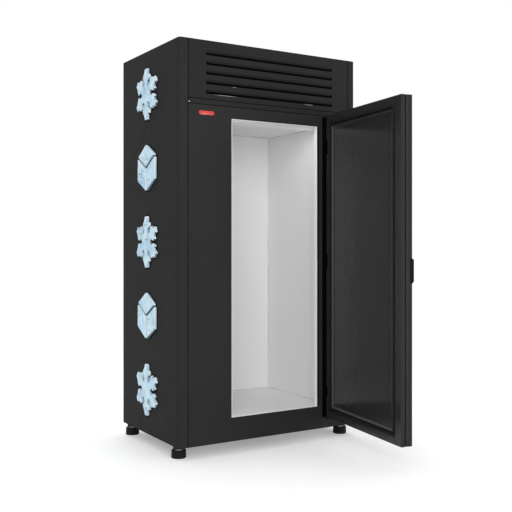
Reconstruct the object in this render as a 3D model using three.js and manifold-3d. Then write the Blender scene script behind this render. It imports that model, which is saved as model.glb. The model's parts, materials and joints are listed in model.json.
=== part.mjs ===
// Ice merchandiser freezer: an insulated upright cabinet with one hinged door, a refrigeration
// unit behind a louvred panel above the ice room, and four levelling feet.
// Millimetres, +Z up, +X to the right as seen from the front, and the front faces -Y.
// Cabinet frame: X from the left side, Y back from the front face, Z up from the base plate.

import * as THREE from "three";
import { mergeVertices } from "three/addons/utils/BufferGeometryUtils.js";
import Module from "manifold-3d";

const wasm = await Module();
wasm.setup();

// Body
const BODY_W = 1096;
const BODY_D = 712;
const BODY_H = 2036;
const FOOT_H = 64;
const SHEET = 1.5; // painted steel sheet
const BASE_T = 3; // base plate
const HEM = 12; // turned-in edge of a post or a side panel
const FIT = 0.3; // gap between pieces that touch

// Corner posts and seams
const POST_FRONT = 48;
const POST_SIDE = 30;
const POST_R = 17;
const POST_SEAM = 4; // shadow gap between a post and the front panels
const SIDE_SEAM = 2; // gap between a post and a side panel
const PANEL_SEAM = 3; // gap between stacked front panels
const REAR_LAP = 22; // rear flange of a side panel

// Front: heights from the top down, then the opening
const MACHINE_H = 296; // louvred panel
const RAIL_H = 27;
const RAIL_D = 25;
const HEADER_H = 61; // rail to the head of the opening
const SILL_H = 122;
const LEFT_BAY = 299; // left side to the opening
const OPEN_W = 539;
const FRONT_HEM = 14;
const JAMB_SETBACK = 22; // opening to the hinge-side jamb plate
const JAMB_FOOT = 55;

// Louvres: over each slot a lip, cut free at its ends, is bent inwards
const LOUVRE_COUNT = 5;
const LOUVRE_PITCH = 48.5;
const LOUVRE_FIRST = 68; // body top to the first slot's centre
const LOUVRE_X = 151;
const LOUVRE_W = 786;
const SLOT_H = 13.5;
const SLOT_HEM = 5; // fold along the slot's lower edge
const LIP_H = 9;
const LIP_D = 9;

// Ice room
const THROAT_T = 3;
const THROAT_D = 24;
const STRIP_NOSE = 1.2;
const LINER_T = 1.5;
const WALL_LEFT = 62;
const ROOM_LAP = 82; // room past the opening, on the hinge side
const WALL_BACK = 87;
const WALL_FRONT = 60;
const CEILING_RISE = 13; // ceiling above the throat's head
const LAMP_D = 98;
const LAMP_INSET = 14;
const DIFFUSER_T = 4;
const DIFFUSER_R = 2;
const LAMP_LEFT_GAP = 130;

// Cold-wall evaporator coil
const COIL_R = 4.75;
const COIL_RUNS = 7; // an odd number, so that the last run ends at the back
const COIL_END = 140; // room's floor and ceiling to the nearest runs
const COIL_MARGIN = 55; // room's front and back to the coil

// Machine room
const DECK_DROP = 13; // rail's lower seam to the deck
const DECK_T = 2;
const DECK_RIM = 10;
const DECK_FRONT = 16;
const CONDENSER_X = 190;
const CONDENSER_Y = 56;
const CONDENSER_W = 360;
const CONDENSER_D = 58;
const CONDENSER_H = 262;
const FIN_COUNT = 26;
const FIN_T = 4;
const FIN_GROOVE = 22;
const RETURN_BENDS = 4; // at each end of the condenser
const RETURN_REACH = 20;
const FAN_R = 108;
const FAN_TIP_GAP = 6;
const SHROUD_T = 2;
const SHROUD_RING_D = 34;
const ARM_COUNT = 3;
const ARM_W = 12;
const HUB_R = 26;
const HUB_D = 22;
const BLADE_COUNT = 5;
const BLADE_CHORD = 56;
const BLADE_T = 2.4;
const BLADE_ROOT_SHARE = 0.62; // chord at the hub
const BLADE_ROOT_DEG = 38;
const BLADE_TWIST_DEG = 16;
const BLADE_CUP = 3.5;
const BLADE_LEAN = 0.55; // depth of the blades against a full twist
const MOTOR_R = 38;
const MOTOR_D = 62;
const MOTOR_CHAMFER = 4;
const SHAFT_R = 4;
const COMPRESSOR_SIDE = 216; // right side and back of the body to its axis
const COMPRESSOR_BACK = 292;
const COMPRESSOR_R = 88;
const COMPRESSOR_H = 205;
const COMPRESSOR_STAND = 18; // shell above the deck
const MOUNT_D = 0.75; // mounting plate's depth against its width
const MOUNT_T = 8;
const MOUNT_R = 14;
const GROMMET_R = 13;
const GROMMET_INSET = 16;
const TERMINAL_W = 52;
const TERMINAL_D = 22;
const PIPE_R = 4;
const PIPE_BEND = 16;
const DISCHARGE_RISE = 40;
const DRIER_L = 150;
const DRIER_R = 11;
const DRIER_STUB_R = 3;
const DRIER_STUB_L = 22;
const DRIER_NECK_L = 10;
const BOX_W = 150;
const BOX_D = 110;
const BOX_H = 190;
const BOX_SIDE = 96; // right side of the body to the control box
const BOX_Y = 50;
const BOX_LID_D = 15;
const BOX_LID_LAP = 3;
const BOX_LID_R = 5;
const GLAND_R = 9;
const GLAND_BORE = 4.5;
const GLAND_NUT_R = 14;
const GLAND_NUT_D = 12;
const GLAND_FLANGE_R = 15;
const GLAND_FLANGE_T = 8;
const GLAND_DOME = 16;
const GLAND_SIDE = 106;
const GLAND_RISE = 60;

// Rear grille
const GRILLE_ROWS = 8;
const GRILLE_PITCH = 24;
const GRILLE_SLOT_H = 9;
const GRILLE_SLOT_W = 340;
const GRILLE_GAP = 60;

// Door
const LAP_FREE = 85; // door past the opening, on each of its sides
const LAP_HINGE = 101;
const LAP_TOP = 59;
const LAP_BOTTOM = 56;
const DOOR_GAP = 8; // closed door to the front face
const OUTER_PAN_D = 33;
const STRIP_D = 7;
const INNER_PAN_D = 22;
const STRIP_INSET = 2;
const STRIP_W = 10;
const DOOR_EDGE_R = 4;
const FRAME_FREE = 52; // flat frame outside the gasket
const FRAME_HINGE = 36;
const FRAME_END = 38;
const GASKET_W = 18;
const GASKET_BASE = 6;
const GASKET_AIR = 0.4; // closed gasket to the front face
const GASKET_PILLOW_IN = 3;
const GASKET_WAIST = 2;
const GASKET_NECK = 3;
const GASKET_CROWN = 1.2;
const PANEL_DROP = 4; // inner panel below the door's inner face
const BEAD_W = 8;
const BEAD_H = 4;
const DOOR_OPEN_DEG = 82;
const PIVOT_EDGE = 18; // hinge edge of the door to the pivot
const PIVOT_FACE = 18; // outer face of the door to the pivot

// Handle
const HANDLE_H = 116;
const HANDLE_W = 20;
const HANDLE_REACH = 35;
const HANDLE_BAR = 12;
const HANDLE_FOOT = 16;
const HANDLE_INSET = 45;
const HANDLE_Z = 885;
const HANDLE_R = 14; // corners of the bow, of the gap behind it and of its grip
const HANDLE_GAP_R = 7;
const HANDLE_GRIP_R = 6;

// Hinges
const PIN_R = 6;
const PIN_PLAY = 0.4;
const BUSH_R = 9;
const BUSH_L = 24;
const BUSH_FLANGE_R = 13;
const BUSH_FLANGE_T = 2;
const BRACKET_T = 5;
const LEAF_T = 3;
const LEAF_H = 22;
const LEAF_X0 = -14; // leaf's ends, from the pivot
const LEAF_X1 = 42;
const TONGUE_R = 15;
const PIN_HEAD_R = 9;
const PIN_HEAD_T = 3;
const PIN_CHAMFER = 1;
const PIN_SHORT = 4; // bush's inner end to the pin's end

// Feet
const FOOT_SIDE = 40;
const FOOT_FRONT = 85;
const FOOT_REAR = 38;
const PAD_R = 38;
const PAD_H = 40;
const PAD_BEVEL = 2.5;
const SLEEVE_R = 28;
const SLEEVE_H = 19;
const STEM_R = 8;
const COLLAR_R = 23;
const STEM_SOCKET = 16;
const STEM_SHORT = 2; // stem's end below the body
const PAD_DRAFT = 1; // pad's top narrower than its foot

// Facets
const ARC_STEPS = 6;
const ROUND_SIDES = 24;
const PIPE_SIDES = 6;

// Places worked out from the sizes above
const SKIN_Z0 = BASE_T + FIT;
const SKIN_Z1 = BODY_H - SHEET - FIT;
const FRONT_X0 = POST_FRONT + POST_SEAM;
const FRONT_X1 = BODY_W - FRONT_X0;
const LOUVRE_Z0 = BODY_H - MACHINE_H;
const RAIL_Z0 = LOUVRE_Z0 - RAIL_H;
const OPEN_X0 = LEFT_BAY;
const OPEN_X1 = LEFT_BAY + OPEN_W;
const OPEN_Z0 = SILL_H;
const OPEN_Z1 = RAIL_Z0 - HEADER_H;
const JAMB_X = OPEN_X1 + JAMB_SETBACK;
const BACK_Y = BODY_D - 2 * SHEET - FIT;
const SIDE_FRONT_Y = POST_SIDE + SIDE_SEAM;
const MOUTH_Y = THROAT_D + FIT;
const THROAT_LIP = FIT + THROAT_T;
const ROOM_X0 = WALL_LEFT;
const ROOM_X1 = OPEN_X1 + ROOM_LAP;
const ROOM_Y1 = BODY_D - WALL_BACK;
const ROOM_Z0 = OPEN_Z0 + THROAT_LIP;
const ROOM_Z1 = OPEN_Z1 - THROAT_LIP + CEILING_RISE;
const COIL_PITCH = (ROOM_Z1 - ROOM_Z0 - 2 * COIL_END) / (COIL_RUNS - 1);
const COIL_X = ROOM_X1 + LINER_T + FIT + COIL_R;
const DECK_Z = RAIL_Z0 - DECK_DROP;
const UNIT_Z = DECK_Z + DECK_T + FIT;
const DOOR_T = OUTER_PAN_D + STRIP_D + INNER_PAN_D;
const DOOR_W = LAP_FREE + OPEN_W + LAP_HINGE;
const DOOR_Z0 = OPEN_Z0 - LAP_BOTTOM;
const DOOR_Z1 = OPEN_Z1 + LAP_TOP;
const PIVOT_X = OPEN_X1 + LAP_HINGE - PIVOT_EDGE;
const PIVOT_Y = -(DOOR_GAP + DOOR_T - PIVOT_FACE);
const BUSH_BORE = PIN_R + PIN_PLAY;
const FAN_X = CONDENSER_X + CONDENSER_W / 2;
const FAN_Z = UNIT_Z + CONDENSER_H / 2;
const RISER_Y = ROOM_Y1 - COIL_MARGIN;
const RISER_TOP = DECK_Z + DECK_T;
const SHROUD_Y = CONDENSER_Y + CONDENSER_D + FIT;
const COMPRESSOR_X = BODY_W - COMPRESSOR_SIDE;
const COMPRESSOR_Y = BODY_D - COMPRESSOR_BACK;
const DRIER_X = CONDENSER_X + CONDENSER_W + FIT + DRIER_L / 2;

// Finishes
const FINISH = {
  paint: { color: 0x343536, roughness: 0.45, metalness: 0.1 },
  white: { color: 0xe6e7e8, roughness: 0.4, metalness: 0 },
  opal: { color: 0xf6f7f8, roughness: 0.5, metalness: 0 },
  foam: { color: 0xe0cf9a, roughness: 0.9, metalness: 0 },
  galvanised: { color: 0xa9adb0, roughness: 0.45, metalness: 0.8 },
  aluminium: { color: 0xb8bcbf, roughness: 0.35, metalness: 0.9 },
  copper: { color: 0xb5673c, roughness: 0.35, metalness: 0.9 },
  enamel: { color: 0x161718, roughness: 0.3, metalness: 0.2 },
  plastic: { color: 0x1a1a1b, roughness: 0.5, metalness: 0 },
  rubber: { color: 0x121212, roughness: 0.7, metalness: 0 },
  zinc: { color: 0xc9cbcc, roughness: 0.35, metalness: 0.8 },
};

// ---- Shapes and solids -------------------------------------------------------------------

const point = (x, y) => new THREE.Vector2(x, y);
const vector = (x, y, z) => new THREE.Vector3(x, y, z);

function shapeOf(outline, holes = []) {
  const shape = new THREE.Shape(outline);
  holes.forEach((hole) => shape.holes.push(new THREE.Path(hole)));
  return shape;
}

// Corners of a rectangle, anticlockwise.
function rect(x0, y0, x1, y1) {
  return [point(x0, y0), point(x1, y0), point(x1, y1), point(x0, y1)];
}

function arc(cx, cy, radius, from, to, steps = ARC_STEPS) {
  const points = [];
  for (let i = 0; i <= steps; i += 1) {
    const angle = THREE.MathUtils.degToRad(from + ((to - from) * i) / steps);
    points.push(point(cx + radius * Math.cos(angle), cy + radius * Math.sin(angle)));
  }
  return points;
}

// Rectangle with the radius of each corner given anticlockwise from the lowest corner.
function roundedRect(x0, y0, x1, y1, r) {
  const [a, b, c, d] = Array.isArray(r) ? r : [r, r, r, r];
  const corner = (cx, cy, radius, from) =>
    radius > 0 ? arc(cx, cy, radius, from, from + 90) : [point(cx, cy)];
  return [
    ...corner(x0 + a, y0 + a, a, 180),
    ...corner(x1 - b, y0 + b, b, 270),
    ...corner(x1 - c, y1 - c, c, 0),
    ...corner(x0 + d, y1 - d, d, 90),
  ];
}

// Point where the two edges at a corner meet once both are moved out by t.
function mitre(before, at, after, t) {
  const a = at.clone().sub(before).normalize();
  const b = after.clone().sub(at).normalize();
  const normalA = point(a.y, -a.x);
  const normalB = point(b.y, -b.x);
  const middle = normalA.add(normalB).normalize();
  return at.clone().addScaledVector(middle, t / middle.dot(normalB));
}

// Anticlockwise outline moved out by t, or in where t is negative.
function grow(outline, t) {
  const n = outline.length;
  return outline.map((at, i) => mitre(outline[(i + n - 1) % n], at, outline[(i + 1) % n], t));
}

// Section of a folded sheet whose outer face follows the path, with its metal on the path's right.
function foldedSection(path, t) {
  const inner = path.map((at, i) => {
    const before = i > 0 ? path[i - 1] : at.clone().multiplyScalar(2).sub(path[1]);
    const after = i < path.length - 1 ? path[i + 1] : at.clone().multiplyScalar(2).sub(path[i - 1]);
    return mitre(before, at, after, t);
  });
  return [...path, ...inner.reverse()];
}

function solidOf(geometry) {
  geometry.deleteAttribute("normal");
  geometry.deleteAttribute("uv");
  const merged = mergeVertices(geometry, 1e-4);
  const mesh = new wasm.Mesh({
    numProp: 3,
    vertProperties: Float32Array.from(merged.attributes.position.array),
    triVerts: Uint32Array.from(merged.index.array),
  });
  return new wasm.Manifold(mesh);
}

function geometryOf(solid) {
  const mesh = solid.getMesh();
  const geometry = new THREE.BufferGeometry();
  geometry.setAttribute("position", new THREE.BufferAttribute(mesh.vertProperties, 3));
  geometry.setIndex(new THREE.BufferAttribute(mesh.triVerts, 1));
  const flat = geometry.toNonIndexed();
  flat.computeVertexNormals();
  return flat;
}

function join(first, ...others) {
  return others.reduce((sum, solid) => sum.add(solid), first);
}

function cut(first, ...others) {
  return others.reduce((rest, solid) => rest.subtract(solid), first);
}

function extruded(shape, depth) {
  return new THREE.ExtrudeGeometry(shape, { depth, bevelEnabled: false, curveSegments: ARC_STEPS });
}

// Shape drawn in X and Y, between two heights.
function extrudeZ(shape, z0, z1) {
  return solidOf(extruded(shape, z1 - z0).translate(0, 0, z0));
}

// Shape drawn in X and Z, between two depths.
function extrudeY(shape, y0, y1) {
  return solidOf(extruded(shape, y1 - y0).rotateX(Math.PI / 2).translate(0, y1, 0));
}

// Shape drawn in Y and Z, between two places along X.
function extrudeX(shape, x0, x1) {
  const turn = new THREE.Matrix4().makeBasis(
    new THREE.Vector3(0, 1, 0),
    new THREE.Vector3(0, 0, 1),
    new THREE.Vector3(1, 0, 0),
  );
  return solidOf(extruded(shape, x1 - x0).applyMatrix4(turn).translate(x0, 0, 0));
}

function block(x0, y0, z0, x1, y1, z1) {
  return extrudeZ(shapeOf(rect(x0, y0, x1, y1)), z0, z1);
}

// Body turned round Z; the profile is a list of radius and height pairs.
function turned(profile, sides = ROUND_SIDES) {
  const geometry = new THREE.LatheGeometry(profile.map(([r, z]) => point(r, z)), sides);
  return solidOf(geometry.rotateX(Math.PI / 2));
}

function rod(radius, z0, z1, sides = ROUND_SIDES) {
  return turned([[0, z0], [radius, z0], [radius, z1], [0, z1]], sides);
}

function tube(outer, inner, z0, z1, sides = ROUND_SIDES) {
  return turned([[inner, z0], [outer, z0], [outer, z1], [inner, z1], [inner, z0]], sides);
}

const alongY = (solid) => solid.rotate([90, 0, 0]);

// Folded pan: a flat face at y = face with a rim turned back to y = rim round it and its holes.
function pan(outline, holes, face, rim, t = SHEET) {
  const sign = Math.sign(rim - face);
  const floor = face + sign * t;
  const past = rim + sign * t;
  const outer = extrudeY(shapeOf(outline, holes), Math.min(face, rim), Math.max(face, rim));
  const pocketShape = shapeOf(grow(outline, -t), holes.map((hole) => grow(hole, t)));
  return outer.subtract(extrudeY(pocketShape, Math.min(floor, past), Math.max(floor, past)));
}

// Path whose steps fall on the points given, so that straight runs need one step.
class StationCurve extends THREE.Curve {
  constructor(points) {
    super();
    this.points = points;
  }

  getPointAt(u) {
    return this.points[Math.round(u * (this.points.length - 1))].clone();
  }

  getPoint(t) {
    return this.getPointAt(t);
  }

  getTangentAt(u) {
    const i = Math.round(u * (this.points.length - 1));
    const before = this.points[Math.max(i - 1, 0)];
    const after = this.points[Math.min(i + 1, this.points.length - 1)];
    const here = this.points[i];
    const into = here.clone().sub(before).normalize();
    const out = after.clone().sub(here).normalize();
    return into.add(out).normalize();
  }

  getTangent(t) {
    return this.getTangentAt(t);
  }
}

// Corner points with each bend turned into an arc of the bend radius.
function bentPath(corners, bend, steps = 4) {
  const points = [corners[0].clone()];
  for (let i = 1; i < corners.length - 1; i += 1) {
    const into = corners[i].clone().sub(corners[i - 1]).normalize();
    const out = corners[i + 1].clone().sub(corners[i]).normalize();
    const turn = into.angleTo(out);
    const reach = bend * Math.tan(turn / 2);
    const start = corners[i].clone().addScaledVector(into, -reach);
    const inward = out.clone().sub(into).normalize();
    const centre = corners[i].clone().addScaledVector(inward, bend / Math.cos(turn / 2));
    const from = start.sub(centre);
    const axis = into.clone().cross(out).normalize();
    for (let k = 0; k <= steps; k += 1) {
      points.push(centre.clone().add(from.clone().applyAxisAngle(axis, (turn * k) / steps)));
    }
  }
  points.push(corners[corners.length - 1].clone());
  return points;
}

function pipe(points, radius, sides = PIPE_SIDES) {
  const section = arc(0, 0, radius, 0, 360, sides).slice(0, sides);
  const settings = { steps: points.length - 1, extrudePath: new StationCurve(points) };
  return solidOf(new THREE.ExtrudeGeometry(shapeOf(section), settings));
}

function part(name, solid, finish) {
  const mesh = new THREE.Mesh(geometryOf(solid), new THREE.MeshStandardMaterial(FINISH[finish]));
  mesh.name = name;
  return mesh;
}

function placed(mesh, x, y, z) {
  mesh.position.set(x, y, z);
  return mesh;
}

function groupOf(...children) {
  const group = new THREE.Group();
  group.add(...children);
  return group;
}

// The same outline on the right-hand side of the body.
const mirrored = (outline) => outline.map((at) => point(BODY_W - at.x, at.y)).reverse();

// ---- Body skins --------------------------------------------------------------------------

function postSection() {
  return foldedSection(
    [
      point(POST_FRONT, HEM),
      point(POST_FRONT, 0),
      ...arc(POST_R, POST_R, POST_R, 270, 180),
      point(0, POST_SIDE),
      point(HEM, POST_SIDE),
    ],
    SHEET,
  );
}

function sideSection() {
  return foldedSection(
    [
      point(HEM, SIDE_FRONT_Y),
      point(0, SIDE_FRONT_Y),
      point(0, BODY_D),
      point(REAR_LAP, BODY_D),
    ],
    SHEET,
  );
}

function skin(section) {
  return extrudeZ(shapeOf(section), SKIN_Z0, SKIN_Z1);
}

// Outline of the body from above: the front corners are round, the rear ones square.
function footprint(inset = 0) {
  const r = POST_R - inset;
  return roundedRect(inset, inset, BODY_W - inset, BODY_D - inset, [r, r, 0, 0]);
}

function topPanel() {
  const inset = HEM + PANEL_SEAM + SHEET;
  const rimOutline = rect(inset, inset, BODY_W - inset, BODY_D - inset);
  const rim = extrudeZ(shapeOf(rimOutline, [grow(rimOutline, -SHEET)]), SKIN_Z1 - HEM, BODY_H - SHEET / 2);
  return join(extrudeZ(shapeOf(footprint()), BODY_H - SHEET, BODY_H), rim);
}

function basePanel() {
  return extrudeZ(shapeOf(footprint()), 0, BASE_T);
}

function backPanel() {
  const outline = rect(SHEET + FIT, SKIN_Z0, BODY_W - SHEET - FIT, RAIL_Z0 - FIT);
  return extrudeY(shapeOf(outline), BACK_Y, BACK_Y + SHEET);
}

function rearGrille() {
  const z0 = RAIL_Z0 + PANEL_SEAM;
  const outline = rect(SHEET + FIT, z0, BODY_W - SHEET - FIT, SKIN_Z1);
  const rowsH = (GRILLE_ROWS - 1) * GRILLE_PITCH;
  const rowZ = (z0 + SKIN_Z1 - rowsH) / 2;
  const slots = [];
  for (let row = 0; row < GRILLE_ROWS; row += 1) {
    const z = rowZ + row * GRILLE_PITCH;
    const left = BODY_W / 2 - GRILLE_GAP / 2 - GRILLE_SLOT_W;
    const right = BODY_W / 2 + GRILLE_GAP / 2;
    [left, right].forEach((x) => {
      const high = GRILLE_SLOT_H / 2;
      slots.push(block(x, BACK_Y - SHEET, z - high, x + GRILLE_SLOT_W, BODY_D, z + high));
    });
  }
  const glandHole = alongY(rod(GLAND_R + FIT, -SHEET * 2, SHEET * 2));
  const sheet = extrudeY(shapeOf(outline), BACK_Y, BACK_Y + SHEET);
  return cut(sheet, ...slots, glandHole.translate([BODY_W - GLAND_SIDE, BACK_Y, z0 + GLAND_RISE]));
}

function opening(inset = 0) {
  return rect(OPEN_X0 + inset, OPEN_Z0 + inset, OPEN_X1 - inset, OPEN_Z1 - inset);
}

function frontFascia() {
  const top = RAIL_Z0 - PANEL_SEAM / 2;
  const notchX = JAMB_X - SIDE_SEAM / 2;
  const notchZ = JAMB_FOOT - SIDE_SEAM / 2;
  const outline = [
    point(FRONT_X0, SKIN_Z0),
    point(FRONT_X1, SKIN_Z0),
    point(FRONT_X1, notchZ),
    point(notchX, notchZ),
    point(notchX, top),
    point(FRONT_X0, top),
  ];
  return pan(outline, [opening()], 0, FRONT_HEM);
}

function hingeJambPlate() {
  const x0 = JAMB_X + SIDE_SEAM / 2;
  const z0 = JAMB_FOOT + SIDE_SEAM / 2;
  return pan(rect(x0, z0, FRONT_X1, RAIL_Z0 - PANEL_SEAM / 2), [], 0, FRONT_HEM);
}

function crossRail() {
  const z0 = RAIL_Z0 + PANEL_SEAM / 2;
  return pan(rect(FRONT_X0, z0, FRONT_X1, LOUVRE_Z0 - PANEL_SEAM / 2), [], 0, RAIL_D);
}

// Section of a louvre's lip in Y and Z: sheet that runs in from the face to the slot's head.
function lipSection(head) {
  return [
    point(0, head + LIP_H + SHEET),
    point(0, head + LIP_H),
    point(LIP_D, head),
    point(LIP_D + SHEET, head),
    point(SHEET, head + LIP_H),
    point(SHEET, head + LIP_H + SHEET),
  ];
}

function louvrePanel() {
  const outline = rect(FRONT_X0, LOUVRE_Z0 + PANEL_SEAM / 2, FRONT_X1, SKIN_Z1);
  let solid = pan(outline, [], 0, FRONT_HEM);
  const x0 = LOUVRE_X;
  const x1 = LOUVRE_X + LOUVRE_W;
  for (let i = 0; i < LOUVRE_COUNT; i += 1) {
    const slotZ = BODY_H - LOUVRE_FIRST - i * LOUVRE_PITCH;
    const head = slotZ + SLOT_H / 2;
    const foot = slotZ - SLOT_H / 2;
    const gap = block(x0, -SHEET, foot, x1, 2 * SHEET, head + LIP_H);
    const lip = extrudeX(shapeOf(lipSection(head)), x0 + FIT, x1 - FIT);
    const hem = block(x0, SHEET / 2, foot - SHEET, x1, SLOT_HEM, foot);
    solid = join(cut(solid, gap), lip, hem);
  }
  return solid;
}

// ---- Ice room ----------------------------------------------------------------------------

// Breaker strips: four white profiles that line the opening's edge, with a rounded nose.
const STRIP = { x0: OPEN_X0 + FIT, x1: OPEN_X1 - FIT, z0: OPEN_Z0 + FIT, z1: OPEN_Z1 - FIT };

function uprightStrip(x) {
  const outline = roundedRect(x, 0, x + THROAT_T, THROAT_D, [STRIP_NOSE, STRIP_NOSE, 0, 0]);
  const end = THROAT_T + FIT;
  return extrudeZ(shapeOf(outline), STRIP.z0 + end, STRIP.z1 - end);
}

function levelStrip(z) {
  const outline = roundedRect(0, z, THROAT_D, z + THROAT_T, [STRIP_NOSE, 0, 0, STRIP_NOSE]);
  return extrudeX(shapeOf(outline), STRIP.x0, STRIP.x1);
}

// The room from above: it splays out behind the throat, between the front wall's two sides.
function roomPlan() {
  const left = OPEN_X0 + THROAT_LIP;
  const right = OPEN_X1 - THROAT_LIP;
  const splay = WALL_FRONT - MOUTH_Y;
  return [
    point(left, MOUTH_Y),
    point(right, MOUTH_Y),
    point(right + splay, WALL_FRONT),
    point(ROOM_X1, WALL_FRONT),
    point(ROOM_X1, ROOM_Y1),
    point(ROOM_X0, ROOM_Y1),
    point(ROOM_X0, WALL_FRONT),
    point(left - splay, WALL_FRONT),
  ];
}

// The room from the side, in Y and Z.
function roomProfile() {
  return [
    point(MOUTH_Y, ROOM_Z0),
    point(ROOM_Y1, ROOM_Z0),
    point(ROOM_Y1, ROOM_Z1),
    point(WALL_FRONT, ROOM_Z1),
    point(MOUTH_Y, OPEN_Z1 - THROAT_LIP),
  ];
}

// The room's space, moved out by t on every side but the mouth.
function roomSpace(t) {
  const plan = extrudeZ(shapeOf(grow(roomPlan(), t)), ROOM_Z0 - t, ROOM_Z1 + t);
  const profile = extrudeX(shapeOf(grow(roomProfile(), t)), ROOM_X0 - t, ROOM_X1 + t);
  const ahead = block(0, -WALL_FRONT, 0, BODY_W, MOUTH_Y, BODY_H);
  return cut(plan.intersect(profile), ahead);
}

function throatSpace(inset, y0, y1) {
  return extrudeY(shapeOf(opening(inset)), y0, y1);
}

// The liner's sheets: the main box with the whole floor, the front wall's two sides and its head.
function linerSheets() {
  const mouth = throatSpace(THROAT_LIP, 0, WALL_FRONT / 2);
  const shell = cut(roomSpace(LINER_T), roomSpace(0), mouth);
  const front = shell.intersect(block(0, 0, ROOM_Z0 + FIT, BODY_W, WALL_FRONT, BODY_H));
  const left = OPEN_X0 + THROAT_LIP;
  const right = OPEN_X1 - THROAT_LIP;
  const above = OPEN_Z1 - WALL_FRONT;
  return {
    box: cut(shell, block(0, 0, ROOM_Z0, BODY_W, WALL_FRONT + FIT, BODY_H)),
    left: front.intersect(block(0, 0, 0, left, WALL_FRONT, BODY_H)),
    right: front.intersect(block(right, 0, 0, BODY_W, WALL_FRONT, BODY_H)),
    head: front.intersect(block(left + FIT, 0, above, right - FIT, WALL_FRONT, BODY_H)),
  };
}

function coilCorners() {
  const y0 = WALL_FRONT + COIL_MARGIN;
  const y1 = ROOM_Y1 - COIL_MARGIN;
  const corners = [];
  for (let run = 0; run < COIL_RUNS; run += 1) {
    const z = ROOM_Z0 + COIL_END + run * COIL_PITCH;
    const ends = run % 2 === 0 ? [y0, y1] : [y1, y0];
    ends.forEach((y) => corners.push(vector(0, y, z)));
  }
  return corners;
}

function evaporatorCoil() {
  const bend = COIL_PITCH / 2 - COIL_R;
  const corners = [...coilCorners(), vector(0, RISER_Y, RISER_TOP)];
  return pipe(bentPath(corners, bend, 3), COIL_R).translate([COIL_X, 0, 0]);
}

// Way up for the coil's end through the foam and the deck.
function riserHole() {
  const hole = rod(COIL_R + 2 * FIT, ROOM_Z1 - COIL_END, RISER_TOP + SHEET);
  return hole.translate([COIL_X, RISER_Y, 0]);
}

// Air left in the foam round the coil.
function coilPocket() {
  const corners = coilCorners();
  const room = 2 * COIL_R;
  const low = corners[0].z - room;
  const high = corners[corners.length - 1].z + COIL_PITCH / 2;
  const y0 = WALL_FRONT + COIL_MARGIN - room;
  const y1 = RISER_Y + room;
  return block(ROOM_X1, y0, low, COIL_X + COIL_R + FIT, y1, high);
}

function insulationFoam() {
  const front = FRONT_HEM + 2 * FIT;
  const side = SHEET + FIT;
  const fold = HEM + FIT;
  const foldY = SIDE_FRONT_Y + SHEET + FIT;
  const outline = [
    point(fold, front),
    point(BODY_W - fold, front),
    point(BODY_W - fold, foldY),
    point(BODY_W - side, foldY),
    point(BODY_W - side, BACK_Y - FIT),
    point(side, BACK_Y - FIT),
    point(side, foldY),
    point(fold, foldY),
  ];
  const mass = extrudeZ(shapeOf(outline), SKIN_Z0, DECK_Z - FIT);
  const mouth = throatSpace(0, 0, MOUTH_Y + FIT);
  return cut(mass, roomSpace(LINER_T + FIT), mouth, coilPocket(), riserHole());
}

function lampHousing() {
  const x0 = ROOM_X0 + LAMP_LEFT_GAP;
  const x1 = ROOM_X1 - LAMP_INSET;
  const low = OPEN_Z1 - THROAT_LIP + DIFFUSER_T + FIT;
  const y0 = WALL_FRONT + FIT;
  const body = block(x0, y0, low, x1, y0 + LAMP_D, ROOM_Z1 - FIT);
  const tray = block(x0 + SHEET, y0 + SHEET, low - SHEET, x1 - SHEET, y0 + LAMP_D - SHEET, low + SHEET);
  return cut(body, tray);
}

function lampDiffuser() {
  const x0 = ROOM_X0 + LAMP_LEFT_GAP;
  const x1 = ROOM_X1 - LAMP_INSET;
  const z0 = OPEN_Z1 - THROAT_LIP;
  const y0 = WALL_FRONT + FIT;
  const outline = roundedRect(y0, z0, y0 + LAMP_D, z0 + DIFFUSER_T, [DIFFUSER_R, DIFFUSER_R, 0, 0]);
  return extrudeX(shapeOf(outline), x0, x1);
}

// ---- Machine room ------------------------------------------------------------------------

function machineDeck() {
  const side = HEM + FIT + SHEET;
  const outline = rect(side, DECK_FRONT, BODY_W - side, BACK_Y - FIT);
  const floor = extrudeZ(shapeOf(outline), DECK_Z, DECK_Z + DECK_T);
  const rim = extrudeZ(shapeOf(outline, [grow(outline, -DECK_T)]), DECK_Z, DECK_Z + DECK_RIM);
  return cut(join(floor, rim), riserHole());
}

// Finned core with its return bends at both ends.
function condenserCoil() {
  const x0 = CONDENSER_X;
  const x1 = CONDENSER_X + CONDENSER_W;
  const y0 = CONDENSER_Y;
  const y1 = CONDENSER_Y + CONDENSER_D;
  const pitch = (CONDENSER_W - FIN_T) / (FIN_COUNT - 1);
  const section = [point(x1, y1), point(x0, y1)];
  for (let i = 0; i < FIN_COUNT; i += 1) {
    const x = x0 + i * pitch;
    section.push(point(x, y0), point(x + FIN_T, y0));
    if (i < FIN_COUNT - 1) {
      section.push(point(x + FIN_T, y0 + FIN_GROOVE), point(x + pitch, y0 + FIN_GROOVE));
    }
  }
  let core = extrudeZ(shapeOf(section), UNIT_Z, UNIT_Z + CONDENSER_H);
  const step = CONDENSER_H / (RETURN_BENDS + 1);
  const y = y1 - CONDENSER_D / 4;
  for (let i = 1; i <= RETURN_BENDS; i += 1) {
    const z = UNIT_Z + i * step;
    [x0, x1].forEach((x, end) => {
      const out = end === 0 ? -1 : 1;
      const tip = x + out * RETURN_REACH;
      const corners = [
        vector(x - out * PIPE_R, y, z - step / 4),
        vector(tip, y, z - step / 4),
        vector(tip, y, z + step / 4),
        vector(x - out * PIPE_R, y, z + step / 4),
      ];
      core = core.add(pipe(bentPath(corners, step / 4 - FIT, 2), PIPE_R));
    });
  }
  return core;
}

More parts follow.
